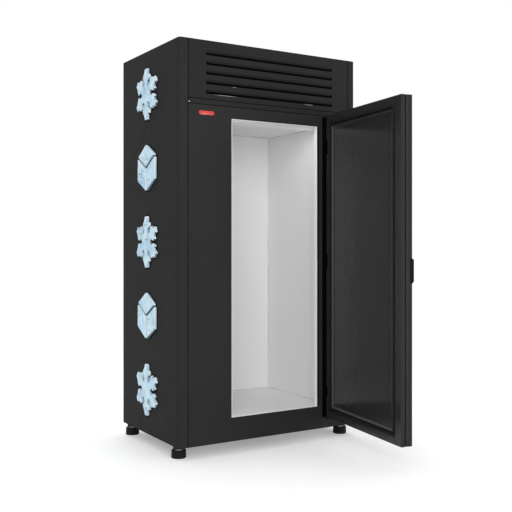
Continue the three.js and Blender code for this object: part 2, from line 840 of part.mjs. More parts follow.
// Plate with a round duct, and three arms that hold the motor behind it.
function fanShroud() {
  const halfW = CONDENSER_W / 2;
  const halfH = CONDENSER_H / 2;
  const bore = FAN_R + FAN_TIP_GAP;
  const ring = arc(0, 0, bore, 0, 360, ROUND_SIDES).slice(0, ROUND_SIDES);
  const plate = extrudeY(shapeOf(rect(-halfW, -halfH, halfW, halfH), [ring]), 0, SHROUD_T);
  const duct = extrudeY(shapeOf(grow(ring, SHROUD_T), [ring]), 0, SHROUD_RING_D);
  const cupY0 = SHROUD_RING_D + SHROUD_T;
  const cup = arc(0, 0, MOTOR_R + SHROUD_T + FIT, 0, 360, ROUND_SIDES).slice(0, ROUND_SIDES);
  const cupHole = arc(0, 0, MOTOR_R + FIT, 0, 360, ROUND_SIDES).slice(0, ROUND_SIDES);
  let solid = join(plate, duct, extrudeY(shapeOf(cup, [cupHole]), cupY0, cupY0 + MOTOR_D / 2));
  const half = ARM_W / 2;
  const armY1 = cupY0 + SHROUD_T * 2;
  for (let i = 0; i < ARM_COUNT; i += 1) {
    const root = MOTOR_R + FIT + SHROUD_T / 2;
    const arm = block(root, cupY0, -half, bore + SHROUD_T, armY1, half);
    const post = block(bore + FIT, SHROUD_T / 2, -half, bore + SHROUD_T, armY1, half);
    solid = solid.add(join(arm, post).rotate([0, 90 + (360 / ARM_COUNT) * i, 0]));
  }
  return solid;
}

function fanMotor() {
  const y0 = SHROUD_RING_D + SHROUD_T;
  const can = turned([
    [0, 0], [MOTOR_R - MOTOR_CHAMFER, 0], [MOTOR_R, MOTOR_CHAMFER], [MOTOR_R, MOTOR_D], [0, MOTOR_D],
  ]);
  const body = alongY(can).mirror([0, 1, 0]).translate([0, y0, 0]);
  const shaft = alongY(rod(SHAFT_R, 0, HUB_D)).translate([0, y0 + FIT, 0]);
  return join(body, shaft);
}

// One blade along +X: a thin plate, wider, twisted and cupped towards its tip.
function fanBladeSolid() {
  const length = FAN_R - HUB_R + BLADE_T;
  const geometry = new THREE.BoxGeometry(length, BLADE_T, BLADE_CHORD, 4, 1, 3);
  const place = geometry.attributes.position;
  for (let i = 0; i < place.count; i += 1) {
    const along = place.getX(i) / length + 0.5;
    const across = (place.getZ(i) / BLADE_CHORD) * 2;
    const swell = (1 - BLADE_ROOT_SHARE) * Math.sin((along * Math.PI) / 2);
    const chord = (BLADE_CHORD / 2) * (BLADE_ROOT_SHARE + swell);
    const angle = THREE.MathUtils.degToRad(BLADE_ROOT_DEG - BLADE_TWIST_DEG * along);
    const cup = BLADE_CUP * (1 - across * across);
    const side = place.getY(i) + cup;
    const z = across * chord * Math.cos(angle) - side * Math.sin(angle);
    const y = across * chord * Math.sin(angle) + side * Math.cos(angle);
    place.setXYZ(i, HUB_R - BLADE_T + along * length, y * BLADE_LEAN, z);
  }
  return solidOf(geometry);
}

function fanBlade() {
  const hub = alongY(tube(HUB_R, SHAFT_R + FIT * 2, -HUB_D / 2, HUB_D / 2));
  let solid = hub;
  for (let i = 0; i < BLADE_COUNT; i += 1) {
    solid = solid.add(fanBladeSolid().rotate([0, (360 / BLADE_COUNT) * i, 0]));
  }
  return solid;
}

function compressor() {
  const r = COMPRESSOR_R;
  const h = COMPRESSOR_H;
  const low = COMPRESSOR_STAND;
  const shell = turned([
    [0, low], [r * 0.72, low], [r * 0.9, h * 0.15], [r * 0.97, h * 0.42], [r, h * 0.44], [r, h * 0.5],
    [r * 0.97, h * 0.52], [r * 0.93, h * 0.78], [r * 0.76, h * 0.93], [r * 0.42, h], [0, h],
  ]);
  const half = r * MOUNT_D;
  const plateZ = low - MOUNT_T / 2;
  const plate = extrudeZ(shapeOf(roundedRect(-r, -half, r, half, MOUNT_R)), plateZ, plateZ + MOUNT_T);
  const grommets = [];
  [-1, 1].forEach((sx) => {
    [-1, 1].forEach((sy) => {
      const place = [sx * (r - GROMMET_INSET), sy * (half - GROMMET_INSET), 0];
      grommets.push(rod(GROMMET_R, 0, low, ROUND_SIDES / 2).translate(place));
    });
  });
  const side = TERMINAL_W / 2;
  const terminal = block(-side, -r - TERMINAL_D, h * 0.55, side, -r * 0.8, h * 0.82);
  return join(shell, plate, terminal, ...grommets);
}

// Spun copper can between two stubs; it lies from the condenser's end along the deck.
function filterDrier() {
  const half = DRIER_L / 2;
  const neck = half - DRIER_STUB_L;
  const can = neck - DRIER_NECK_L;
  return turned([
    [0, -half], [DRIER_STUB_R, -half], [DRIER_STUB_R, -neck], [DRIER_R, -can], [DRIER_R, can],
    [DRIER_STUB_R, neck], [DRIER_STUB_R, half], [0, half],
  ]);
}

// From the compressor's top round to the condenser's end.
function dischargeLine() {
  const top = UNIT_Z + COMPRESSOR_H;
  const high = top + DISCHARGE_RISE;
  const stubX = COMPRESSOR_X - COMPRESSOR_R * 0.3;
  const dropX = COMPRESSOR_X - COMPRESSOR_R * 1.6;
  const y = CONDENSER_Y + CONDENSER_D / 2;
  const corners = [
    vector(stubX, COMPRESSOR_Y, top + FIT),
    vector(stubX, COMPRESSOR_Y, high),
    vector(dropX, COMPRESSOR_Y, high),
    vector(dropX, y, high),
    vector(CONDENSER_X + CONDENSER_W + FIT, y, high),
  ];
  return pipe(bentPath(corners, PIPE_BEND), PIPE_R);
}

// From the deck, where the cold coil's end comes up, to the compressor's side.
function suctionLine() {
  const radius = PIPE_R + 1;
  const z = UNIT_Z + COMPRESSOR_H * 0.62;
  const side = Math.abs(COIL_X - COMPRESSOR_X) - radius;
  const shell = COMPRESSOR_R * 0.97;
  const end = COMPRESSOR_Y + Math.sqrt(shell * shell - side * side) + FIT;
  const corners = [
    vector(COIL_X, RISER_Y, UNIT_Z),
    vector(COIL_X, RISER_Y, z),
    vector(COIL_X, end, z),
  ];
  return pipe(bentPath(corners, PIPE_BEND), radius);
}

function controlBox() {
  const lap = BOX_LID_LAP;
  const tray = block(0, 0, 0, BOX_W, BOX_D - lap, BOX_H);
  const outline = roundedRect(-lap, 0, BOX_W + lap, BOX_H + lap, BOX_LID_R);
  return join(tray, extrudeY(shapeOf(outline), BOX_D - BOX_LID_D, BOX_D));
}

// Nut inside the grille, flange and dome outside it; local Z points out of the back.
function cordGland() {
  const nutOut = -SHEET - FIT;
  return turned([
    [GLAND_BORE, -GLAND_NUT_D], [GLAND_NUT_R, -GLAND_NUT_D], [GLAND_NUT_R, nutOut], [GLAND_R, nutOut],
    [GLAND_R, FIT], [GLAND_FLANGE_R, FIT], [GLAND_FLANGE_R, GLAND_FLANGE_T],
    [GLAND_R, GLAND_FLANGE_T], [GLAND_R * 0.8, GLAND_DOME], [GLAND_BORE, GLAND_DOME],
    [GLAND_BORE, -GLAND_NUT_D],
  ]);
}

// ---- Door, drawn shut round its pivot ----------------------------------------------------

const DOOR_X0 = PIVOT_EDGE - DOOR_W;
const DOOR_X1 = PIVOT_EDGE;
const DOOR_Y0 = -PIVOT_FACE;
const STRIP_Y0 = DOOR_Y0 + OUTER_PAN_D;
const FRAME_Y0 = STRIP_Y0 + STRIP_D;
const DOOR_Y1 = DOOR_Y0 + DOOR_T;

function doorOutline(inset = 0) {
  return rect(DOOR_X0 + inset, DOOR_Z0 + inset, DOOR_X1 - inset, DOOR_Z1 - inset);
}

// Rectangle inside the flat frame, moved in by a further inset.
function frameInside(inset = 0) {
  return rect(
    DOOR_X0 + FRAME_FREE + inset,
    DOOR_Z0 + FRAME_END + inset,
    DOOR_X1 - FRAME_HINGE - inset,
    DOOR_Z1 - FRAME_END - inset,
  );
}

// The door's block with its upright edges rounded.
function doorEnvelope() {
  const plan = roundedRect(DOOR_X0, DOOR_Y0, DOOR_X1, DOOR_Y1, DOOR_EDGE_R);
  return extrudeZ(shapeOf(plan), DOOR_Z0, DOOR_Z1);
}

function bushHoles() {
  const reach = SHEET * 2;
  const low = rod(BUSH_R + FIT, DOOR_Z0 - reach, DOOR_Z0 + reach);
  const high = rod(BUSH_R + FIT, DOOR_Z1 - reach, DOOR_Z1 + reach);
  return join(low, high);
}

function doorOuterPan() {
  const sheet = pan(doorOutline(), [], DOOR_Y0, STRIP_Y0);
  return cut(sheet.intersect(doorEnvelope()), bushHoles());
}

function doorEdgeStrip() {
  const outline = doorOutline(STRIP_INSET);
  return extrudeY(shapeOf(outline, [grow(outline, -STRIP_W)]), STRIP_Y0 + FIT, FRAME_Y0 - FIT);
}

// Inner pan: open in the middle, with its edge turned in as the gasket's seat.
function doorInnerFrame() {
  const sheet = pan(doorOutline(), [], DOOR_Y1, FRAME_Y0).intersect(doorEnvelope());
  const seatShape = shapeOf(frameInside(-SHEET), [frameInside()]);
  const seat = extrudeY(seatShape, DOOR_Y1 - GASKET_BASE, DOOR_Y1);
  const middle = extrudeY(shapeOf(frameInside()), FRAME_Y0, DOOR_Y1 + SHEET);
  return cut(join(sheet, seat), middle);
}

function doorGasket() {
  const base = frameInside(FIT);
  const width = GASKET_W - FIT;
  const baseY = DOOR_Y1 - GASKET_BASE;
  const crown = DOOR_Y1 + DOOR_GAP - GASKET_AIR;
  const foot = extrudeY(shapeOf(base, [grow(base, -width)]), baseY, DOOR_Y1 + FIT);
  const pillow = grow(base, -GASKET_PILLOW_IN);
  const pillowW = width - 2 * GASKET_PILLOW_IN;
  const waist = grow(pillow, -GASKET_WAIST);
  const waistW = pillowW - 2 * GASKET_WAIST;
  const neckY = DOOR_Y1 + GASKET_NECK;
  const neck = extrudeY(shapeOf(waist, [grow(waist, -waistW)]), DOOR_Y1, neckY);
  const shoulder = crown - GASKET_CROWN;
  const head = extrudeY(shapeOf(pillow, [grow(pillow, -pillowW)]), neckY - FIT, shoulder);
  const ridge = grow(pillow, -GASKET_CROWN);
  const ridgeW = pillowW - 2 * GASKET_CROWN;
  const top = extrudeY(shapeOf(ridge, [grow(ridge, -ridgeW)]), shoulder - FIT, crown);
  return join(foot, neck, head, top);
}

// Pressed sheet with a raised bead round it.
function doorInnerPanel() {
  const edge = frameInside(GASKET_W + FIT);
  const low = DOOR_Y1 - PANEL_DROP;
  const sheet = extrudeY(shapeOf(edge), low, low + SHEET);
  const foot = extrudeY(shapeOf(edge, [grow(edge, -BEAD_W)]), low, DOOR_Y1 + BEAD_H / 2);
  const top = grow(edge, -BEAD_W / 5);
  const crown = shapeOf(top, [grow(top, -BEAD_W * 0.6)]);
  return join(sheet, foot, extrudeY(crown, DOOR_Y1, DOOR_Y1 + BEAD_H));
}

function doorFoam() {
  const inset = STRIP_INSET + STRIP_W + FIT;
  const y1 = DOOR_Y1 - GASKET_BASE - FIT;
  const mass = extrudeY(shapeOf(doorOutline(inset)), DOOR_Y0 + SHEET + FIT, y1);
  const clear = BUSH_R + FIT;
  const low = rod(clear, DOOR_Z0, DOOR_Z0 + BUSH_L + FIT);
  const high = rod(clear, DOOR_Z1 - BUSH_L - FIT, DOOR_Z1);
  return cut(mass, low, high);
}

// Bow handle: its outline in depth and height, with round outer corners.
function doorHandle() {
  const gapFront = HANDLE_BAR - HANDLE_REACH;
  const gapTop = HANDLE_H - HANDLE_FOOT;
  const outer = roundedRect(-HANDLE_REACH, 0, 0, HANDLE_H, [HANDLE_R, 0, 0, HANDLE_R]);
  const gap = roundedRect(gapFront, HANDLE_FOOT, FIT, gapTop, [HANDLE_GAP_R, 0, 0, HANDLE_GAP_R]);
  const bow = extrudeX(shapeOf(outer), -HANDLE_W / 2, HANDLE_W / 2);
  const space = extrudeX(shapeOf(gap), -HANDLE_W, HANDLE_W);
  const front = roundedRect(-HANDLE_W / 2, -HANDLE_REACH, HANDLE_W / 2, HANDLE_REACH, HANDLE_GRIP_R);
  const rounded = extrudeZ(shapeOf(front), 0, HANDLE_H);
  return cut(bow.intersect(rounded), space);
}

// Flanged bush pressed into the door's end; local Z points out of the door.
function hingeBush() {
  return turned([
    [BUSH_BORE, -BUSH_L], [BUSH_R, -BUSH_L], [BUSH_R, FIT], [BUSH_FLANGE_R, FIT],
    [BUSH_FLANGE_R, FIT + BUSH_FLANGE_T], [BUSH_BORE, FIT + BUSH_FLANGE_T], [BUSH_BORE, -BUSH_L],
  ]);
}

// ---- Hinge hardware on the body ----------------------------------------------------------

const TONGUE_Z = 2 * FIT + BUSH_FLANGE_T; // door's end to the tongue

// Leaf on the front face with a tongue that reaches out to the pin, drawn for the upper hinge.
function hingeBracket() {
  const root = -PIVOT_Y - FIT;
  const tongue = [
    point(LEAF_X0, root),
    ...arc(0, 0, TONGUE_R, 180, 360, 12),
    point(LEAF_X1, root),
  ];
  const plate = extrudeZ(shapeOf(tongue.reverse()), TONGUE_Z, TONGUE_Z + BRACKET_T);
  const leaf = block(LEAF_X0, root - LEAF_T, TONGUE_Z, LEAF_X1, root, TONGUE_Z + LEAF_H);
  const hole = rod(PIN_R + FIT, TONGUE_Z - BRACKET_T, TONGUE_Z + 2 * BRACKET_T);
  return cut(join(plate, leaf), hole);
}

function hingePin() {
  const top = TONGUE_Z + BRACKET_T + FIT;
  const end = PIN_SHORT - BUSH_L;
  return turned([
    [0, end], [PIN_R - PIN_CHAMFER, end], [PIN_R, end + PIN_CHAMFER], [PIN_R, top],
    [PIN_HEAD_R, top], [PIN_HEAD_R, top + PIN_HEAD_T], [0, top + PIN_HEAD_T],
  ]);
}

// ---- Feet, each drawn round its own axis with the body's underside at z = 0 -----------------

function footSleeve() {
  return tube(SLEEVE_R, STEM_R + FIT * 2, -SLEEVE_H, -FIT);
}

function footStem() {
  const padTop = PAD_H - FOOT_H;
  const collarTop = -SLEEVE_H - FIT;
  return turned([
    [0, padTop - STEM_SOCKET + FIT], [STEM_R, padTop - STEM_SOCKET + FIT], [STEM_R, padTop + FIT],
    [COLLAR_R, padTop + FIT], [COLLAR_R, collarTop], [STEM_R, collarTop], [STEM_R, -STEM_SHORT],
    [0, -STEM_SHORT],
  ]);
}

function footPad() {
  const top = PAD_H - FOOT_H;
  const socket = STEM_R + FIT * 2;
  const floor = -FOOT_H;
  const rimR = PAD_R - PAD_DRAFT;
  return turned([
    [0, floor], [PAD_R - PAD_BEVEL, floor], [PAD_R, floor + PAD_BEVEL], [rimR, top - PAD_BEVEL],
    [rimR - PAD_BEVEL, top], [socket, top], [socket, top - STEM_SOCKET], [0, top - STEM_SOCKET],
  ]);
}

// ---- Assembly ----------------------------------------------------------------------------

function bodyParts() {
  return [
    part("left_side_panel", skin(sideSection()), "paint"),
    part("right_side_panel", skin(mirrored(sideSection())), "paint"),
    part("left_front_post", skin(postSection()), "paint"),
    part("right_front_post", skin(mirrored(postSection())), "paint"),
    part("top_panel", topPanel(), "paint"),
    part("base_panel", basePanel(), "paint"),
    part("back_panel", backPanel(), "galvanised"),
    part("rear_grille", rearGrille(), "galvanised"),
    part("front_fascia", frontFascia(), "paint"),
    part("hinge_jamb_plate", hingeJambPlate(), "paint"),
    part("cross_rail", crossRail(), "paint"),
    part("louvre_panel", louvrePanel(), "paint"),
  ];
}

function roomParts() {
  const liner = linerSheets();
  return [
    part("breaker_strip_left", uprightStrip(STRIP.x0), "white"),
    part("breaker_strip_right", uprightStrip(STRIP.x1 - THROAT_T), "white"),
    part("breaker_strip_head", levelStrip(STRIP.z1 - THROAT_T), "white"),
    part("breaker_strip_sill", levelStrip(STRIP.z0), "white"),
    part("inner_liner", liner.box, "white"),
    part("liner_front_left", liner.left, "white"),
    part("liner_front_right", liner.right, "white"),
    part("liner_head", liner.head, "white"),
    part("insulation_foam", insulationFoam(), "foam"),
    part("evaporator_coil", evaporatorCoil(), "copper"),
    part("lamp_housing", lampHousing(), "white"),
    part("lamp_diffuser", lampDiffuser(), "opal"),
  ];
}

function machineParts() {
  const drier = part("filter_drier", filterDrier(), "copper");
  drier.rotation.set(0, Math.PI / 2, 0);
  const gland = part("cord_gland", cordGland(), "plastic");
  gland.rotation.set(-Math.PI / 2, 0, 0);
  return [
    part("machine_deck", machineDeck(), "galvanised"),
    part("condenser_coil", condenserCoil(), "enamel"),
    placed(part("fan_shroud", fanShroud(), "enamel"), FAN_X, SHROUD_Y, FAN_Z),
    placed(part("fan_motor", fanMotor(), "enamel"), FAN_X, SHROUD_Y, FAN_Z),
    placed(part("fan_blade", fanBlade(), "aluminium"), FAN_X, SHROUD_Y + SHROUD_RING_D / 2 + 1, FAN_Z),
    placed(part("compressor", compressor(), "enamel"), COMPRESSOR_X, COMPRESSOR_Y, UNIT_Z),
    placed(drier, DRIER_X, CONDENSER_Y + CONDENSER_D / 2, UNIT_Z + DRIER_R + 2 * FIT),
    part("discharge_line", dischargeLine(), "copper"),
    part("suction_line", suctionLine(), "copper"),
    placed(part("control_box", controlBox(), "plastic"), BODY_W - BOX_SIDE - BOX_W, BOX_Y, UNIT_Z),
    placed(gland, BODY_W - GLAND_SIDE, BACK_Y + SHEET, RAIL_Z0 + PANEL_SEAM + GLAND_RISE),
  ];
}

// The lower hinge is the upper one upside down.
function hingeParts(name, z, upper) {
  const way = (solid) => (upper ? solid : solid.mirror([0, 0, 1]));
  const group = groupOf(
    part(`${name}_hinge_bracket`, way(hingeBracket()), "paint"),
    part(`${name}_hinge_pin`, way(hingePin()), "zinc"),
  );
  group.position.set(PIVOT_X, PIVOT_Y, z);
  return group;
}

function doorGroup() {
  const upperBush = placed(part("upper_hinge_bush", hingeBush(), "plastic"), 0, 0, DOOR_Z1);
  const lowerBush = placed(part("lower_hinge_bush", hingeBush(), "plastic"), 0, 0, DOOR_Z0);
  lowerBush.rotation.x = Math.PI;
  const handleX = DOOR_X0 + HANDLE_INSET;
  const handle = part("door_handle", doorHandle(), "plastic");
  const door = groupOf(
    part("door_outer_pan", doorOuterPan(), "paint"),
    part("door_edge_strip", doorEdgeStrip(), "rubber"),
    part("door_inner_frame", doorInnerFrame(), "paint"),
    part("door_gasket", doorGasket(), "rubber"),
    part("door_inner_panel", doorInnerPanel(), "paint"),
    part("door_foam", doorFoam(), "foam"),
    placed(handle, handleX, DOOR_Y0 - FIT, HANDLE_Z - HANDLE_H / 2),
    upperBush,
    lowerBush,
  );
  door.position.set(PIVOT_X, PIVOT_Y, 0);
  door.rotation.z = THREE.MathUtils.degToRad(DOOR_OPEN_DEG);
  return door;
}

function footParts(name, x, y) {
  const foot = groupOf(
    part(`${name}_foot_sleeve`, footSleeve(), "paint"),
    part(`${name}_foot_stem`, footStem(), "zinc"),
    part(`${name}_foot_pad`, footPad(), "plastic"),
  );
  foot.position.set(x, y, 0);
  return foot;
}

const freezer = groupOf(
  ...bodyParts(),
  ...roomParts(),
  ...machineParts(),
  hingeParts("upper", DOOR_Z1, true),
  hingeParts("lower", DOOR_Z0, false),
  doorGroup(),
  footParts("front_left", FOOT_SIDE, FOOT_FRONT),
  footParts("front_right", BODY_W - FOOT_SIDE, FOOT_FRONT),
  footParts("rear_left", FOOT_SIDE, BODY_D - FOOT_REAR),
  footParts("rear_right", BODY_W - FOOT_SIDE, BODY_D - FOOT_REAR),
);

// The origin is on the floor, under the middle of the whole object with its door open.
const group = groupOf(freezer);
group.updateMatrixWorld(true);
const box = new THREE.Box3().setFromObject(group, true);
freezer.position.set(-(box.min.x + box.max.x) / 2, -(box.min.y + box.max.y) / 2, -box.min.z);
group.updateMatrixWorld(true);

export default group;
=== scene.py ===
"""Looks of a standing ice merchandiser freezer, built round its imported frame.

Lengths are metres, with +X to the object's right, +Y to its back and +Z up.
"""

import json
import math

import bmesh
import bpy
from mathutils import Matrix, Vector


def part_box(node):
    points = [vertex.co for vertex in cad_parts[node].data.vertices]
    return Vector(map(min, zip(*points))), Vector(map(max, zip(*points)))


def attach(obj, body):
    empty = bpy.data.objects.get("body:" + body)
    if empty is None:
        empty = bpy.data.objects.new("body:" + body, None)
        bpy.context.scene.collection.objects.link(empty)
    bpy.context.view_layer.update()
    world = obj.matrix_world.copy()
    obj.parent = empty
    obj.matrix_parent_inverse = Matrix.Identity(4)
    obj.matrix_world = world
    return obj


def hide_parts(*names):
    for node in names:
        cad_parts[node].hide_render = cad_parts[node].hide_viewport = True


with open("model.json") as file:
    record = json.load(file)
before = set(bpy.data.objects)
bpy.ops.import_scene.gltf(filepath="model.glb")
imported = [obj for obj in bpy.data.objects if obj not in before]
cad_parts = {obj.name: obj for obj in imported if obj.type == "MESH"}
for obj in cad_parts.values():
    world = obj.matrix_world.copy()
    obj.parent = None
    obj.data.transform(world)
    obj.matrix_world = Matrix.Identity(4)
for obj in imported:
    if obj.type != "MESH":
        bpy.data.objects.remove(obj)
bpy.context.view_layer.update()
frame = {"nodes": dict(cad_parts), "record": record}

# Places taken from the frame
SIDE_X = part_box("left_side_panel")[0].x
FRONT_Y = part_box("front_fascia")[0].y
BASE_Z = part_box("base_panel")[0].z
TOP_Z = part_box("top_panel")[1].z

RIGHT, LEFT = (1, 0, 0), (-1, 0, 0)
BACK, FRONT = (0, 1, 0), (0, -1, 0)
UP, DOWN = (0, 0, 1), (0, 0, -1)

SEAT_AIR = 0.0001  # between a small piece and what it sits on
SKIN_AIR = 0.00005  # between a film and what it lies on
FILM_T = 0.00012  # thickness of a film

# Door, in its own frame: origin on the pivot, closed, +X to the hinge edge, +Y to the room
DOOR_OPEN = math.radians(82)
DOOR_X0, DOOR_X1 = -0.707, 0.018
DOOR_Y0, DOOR_Y1 = -0.018, 0.044
DOOR_Z0, DOOR_Z1 = 0.066, 1.711  # above the body's underside
# Widths of its inner frame on the free side, the hinge side and at both ends
FRAME_FREE, FRAME_HINGE, FRAME_END = 0.052, 0.036, 0.038
PIN_HEAD_R = 0.009


def door_place():
    """The closed door's own frame to where the open door stands."""
    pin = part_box("upper_hinge_pin")[0]
    pivot = Vector((pin.x + PIN_HEAD_R, pin.y + PIN_HEAD_R, BASE_Z))
    return Matrix.Translation(pivot) @ Matrix.Rotation(DOOR_OPEN, 4, "Z")


def at(x, y, z):
    """A point that is given from the body's front lower left corner."""
    return Vector((SIDE_X + x, FRONT_Y + y, BASE_Z + z))


# ---------------------------------------------------------------- camera and light

CAMERA_AT = (-2.328, -3.602, 1.088)
CAMERA_LOOK = (0.5241, 0.8517)  # level direction in which it looks
CAMERA_LENS = 57.26
CAMERA_SENSOR = 36
CAMERA_SHIFT_Y = -0.0283


def make_camera():
    """A level camera at the photograph's viewing angle."""
    data = bpy.data.cameras.new("camera")
    data.sensor_width = CAMERA_SENSOR
    data.lens = CAMERA_LENS
    data.shift_y = CAMERA_SHIFT_Y
    made = bpy.data.objects.new("camera", data)
    made.location = CAMERA_AT
    turn = math.atan2(-CAMERA_LOOK[0], CAMERA_LOOK[1])
    made.rotation_euler = (math.pi / 2, 0, turn)
    bpy.context.scene.collection.objects.link(made)
    bpy.context.scene.camera = made


def area_light(name, place, aim, size, power, depth=None):
    """A square or oblong lamp that faces its aim; power is in watts."""
    data = bpy.data.lights.new(name, "AREA")
    data.shape = "RECTANGLE"
    data.size = size
    data.size_y = depth or size
    data.energy = power
    made = bpy.data.objects.new(name, data)
    made.location = place
    made.rotation_euler = (Vector(aim) - Vector(place)).to_track_quat("-Z", "Y").to_euler()
    made.visible_camera = False
    bpy.context.scene.collection.objects.link(made)
    return made


WORLD_SEEN = 1.0  # strength of the background
WORLD_FILL = 0.62  # strength of the light from all round
WHITE = (1, 1, 1, 1)


def seen_rays(tree):
    """1 for rays from the camera, a mirror or glass, and 0 for the rays that light surfaces."""
    path = tree.nodes.new("ShaderNodeLightPath")
    first = tree.nodes.new("ShaderNodeMath")
    first.operation = "ADD"
    tree.links.new(path.outputs["Is Camera Ray"], first.inputs[0])
    tree.links.new(path.outputs["Is Glossy Ray"], first.inputs[1])
    both = tree.nodes.new("ShaderNodeMath")
    both.operation = "ADD"
    both.use_clamp = True
    tree.links.new(first.outputs[0], both.inputs[0])
    tree.links.new(path.outputs["Is Transmission Ray"], both.inputs[1])
    return both.outputs[0]


def make_world():
    """A white background for what is seen, and a softer white for what is lit."""
    world = bpy.data.worlds.new("studio")
    bpy.context.scene.world = world
    world.use_nodes = True
    tree = world.node_tree
    shown = tree.nodes["Background"]
    shown.inputs["Color"].default_value = WHITE
    shown.inputs["Strength"].default_value = WORLD_SEEN
    lights = tree.nodes.new("ShaderNodeBackground")
    lights.inputs["Color"].default_value = WHITE
    lights.inputs["Strength"].default_value = WORLD_FILL
    mix = tree.nodes.new("ShaderNodeMixShader")
    tree.links.new(seen_rays(tree), mix.inputs[0])
    tree.links.new(lights.outputs[0], mix.inputs[1])
    tree.links.new(shown.outputs[0], mix.inputs[2])
    tree.links.new(mix.outputs[0], tree.nodes["World Output"].inputs["Surface"])


STUDIO_AIM = (0, 0.2, 1.0)
STUDIO_LIGHTS = (  # name, place, size and power
    ("key", (-2.9, -5.2, 2.6), 3.6, 143),
    ("fill", (2.6, -5.2, 1.3), 2.4, 85),
    ("top", (0.3, 0.6, 5.2), 3.0, 60),
    ("rear", (1.0, 5.6, 3.4), 3.4, 110),
)
ROOM_LIGHT_X = 0.44  # diffuser's left end to the middle of the light
ROOM_LIGHT_DROP = 0.004
ROOM_LIGHT_SIZE = (0.40, 0.06)
ROOM_LIGHT_POWER = 0.42


def make_lights():
    """Soft lamps round the object, and a small one under the cover of the room's lamp."""
    for name, place, size, power in STUDIO_LIGHTS:
        area_light(name, place, STUDIO_AIM, size, power)
    low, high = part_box("lamp_diffuser")
    under = Vector((low.x + ROOM_LIGHT_X, (low.y + high.y) / 2, low.z - ROOM_LIGHT_DROP))
    width, depth = ROOM_LIGHT_SIZE
    room = area_light("room", under, under + Vector(DOWN), width, ROOM_LIGHT_POWER, depth)
    room.visible_glossy = False


FLOOR_HALF = 40
FLOOR_TONES = (0.85, 0.85, 0.85), (0.88, 0.88, 0.88)
FLOOR_GLOW = 0.28
FLOOR_FADE = (1.5, 3.8)  # from the middle: end of the lit floor, start of the plain background


def make_floor():
    """A pale floor that keeps the shadow and fades into the white background."""
    half = FLOOR_HALF
    mesh = bpy.data.meshes.new("floor")
    corners = [(-half, -half, 0), (half, -half, 0), (half, half, 0), (-half, half, 0)]
    mesh.from_pydata(corners, [], [(0, 1, 2, 3)])
    made = bpy.data.objects.new("floor", mesh)
    bpy.context.scene.collection.objects.link(made)
    look = Look("floor")
    look.colour(look.blend(look.noise(6, 3), *FLOOR_TONES))
    look.rough(0.9)
    look.specular(0.0)
    look.shader.inputs["Emission Color"].default_value = WHITE
    seen = seen_rays(look.tree)
    look.feed(look.shader.inputs["Emission Strength"], look.math("MULTIPLY", seen, FLOOR_GLOW))
    reach = look.node("ShaderNodeVectorMath", operation="LENGTH")
    look.feed(reach.inputs[0], look.place)
    far = look.fit(reach.outputs["Value"], *FLOOR_FADE)
    plain = look.node("ShaderNodeEmission")
    mix = look.node("ShaderNodeMixShader")
    look.feed(mix.inputs[0], look.math("MULTIPLY", far, seen))
    look.feed(mix.inputs[1], look.shader.outputs[0])
    look.feed(mix.inputs[2], plain.outputs[0])
    look.feed(look.tree.nodes["Material Output"].inputs["Surface"], mix.outputs[0])
    mesh.materials.append(look.material)


# ---------------------------------------------------------------- materials

MIX_A, MIX_B, MIX_RESULT = 6, 7, 2  # colour sockets of the Mix node


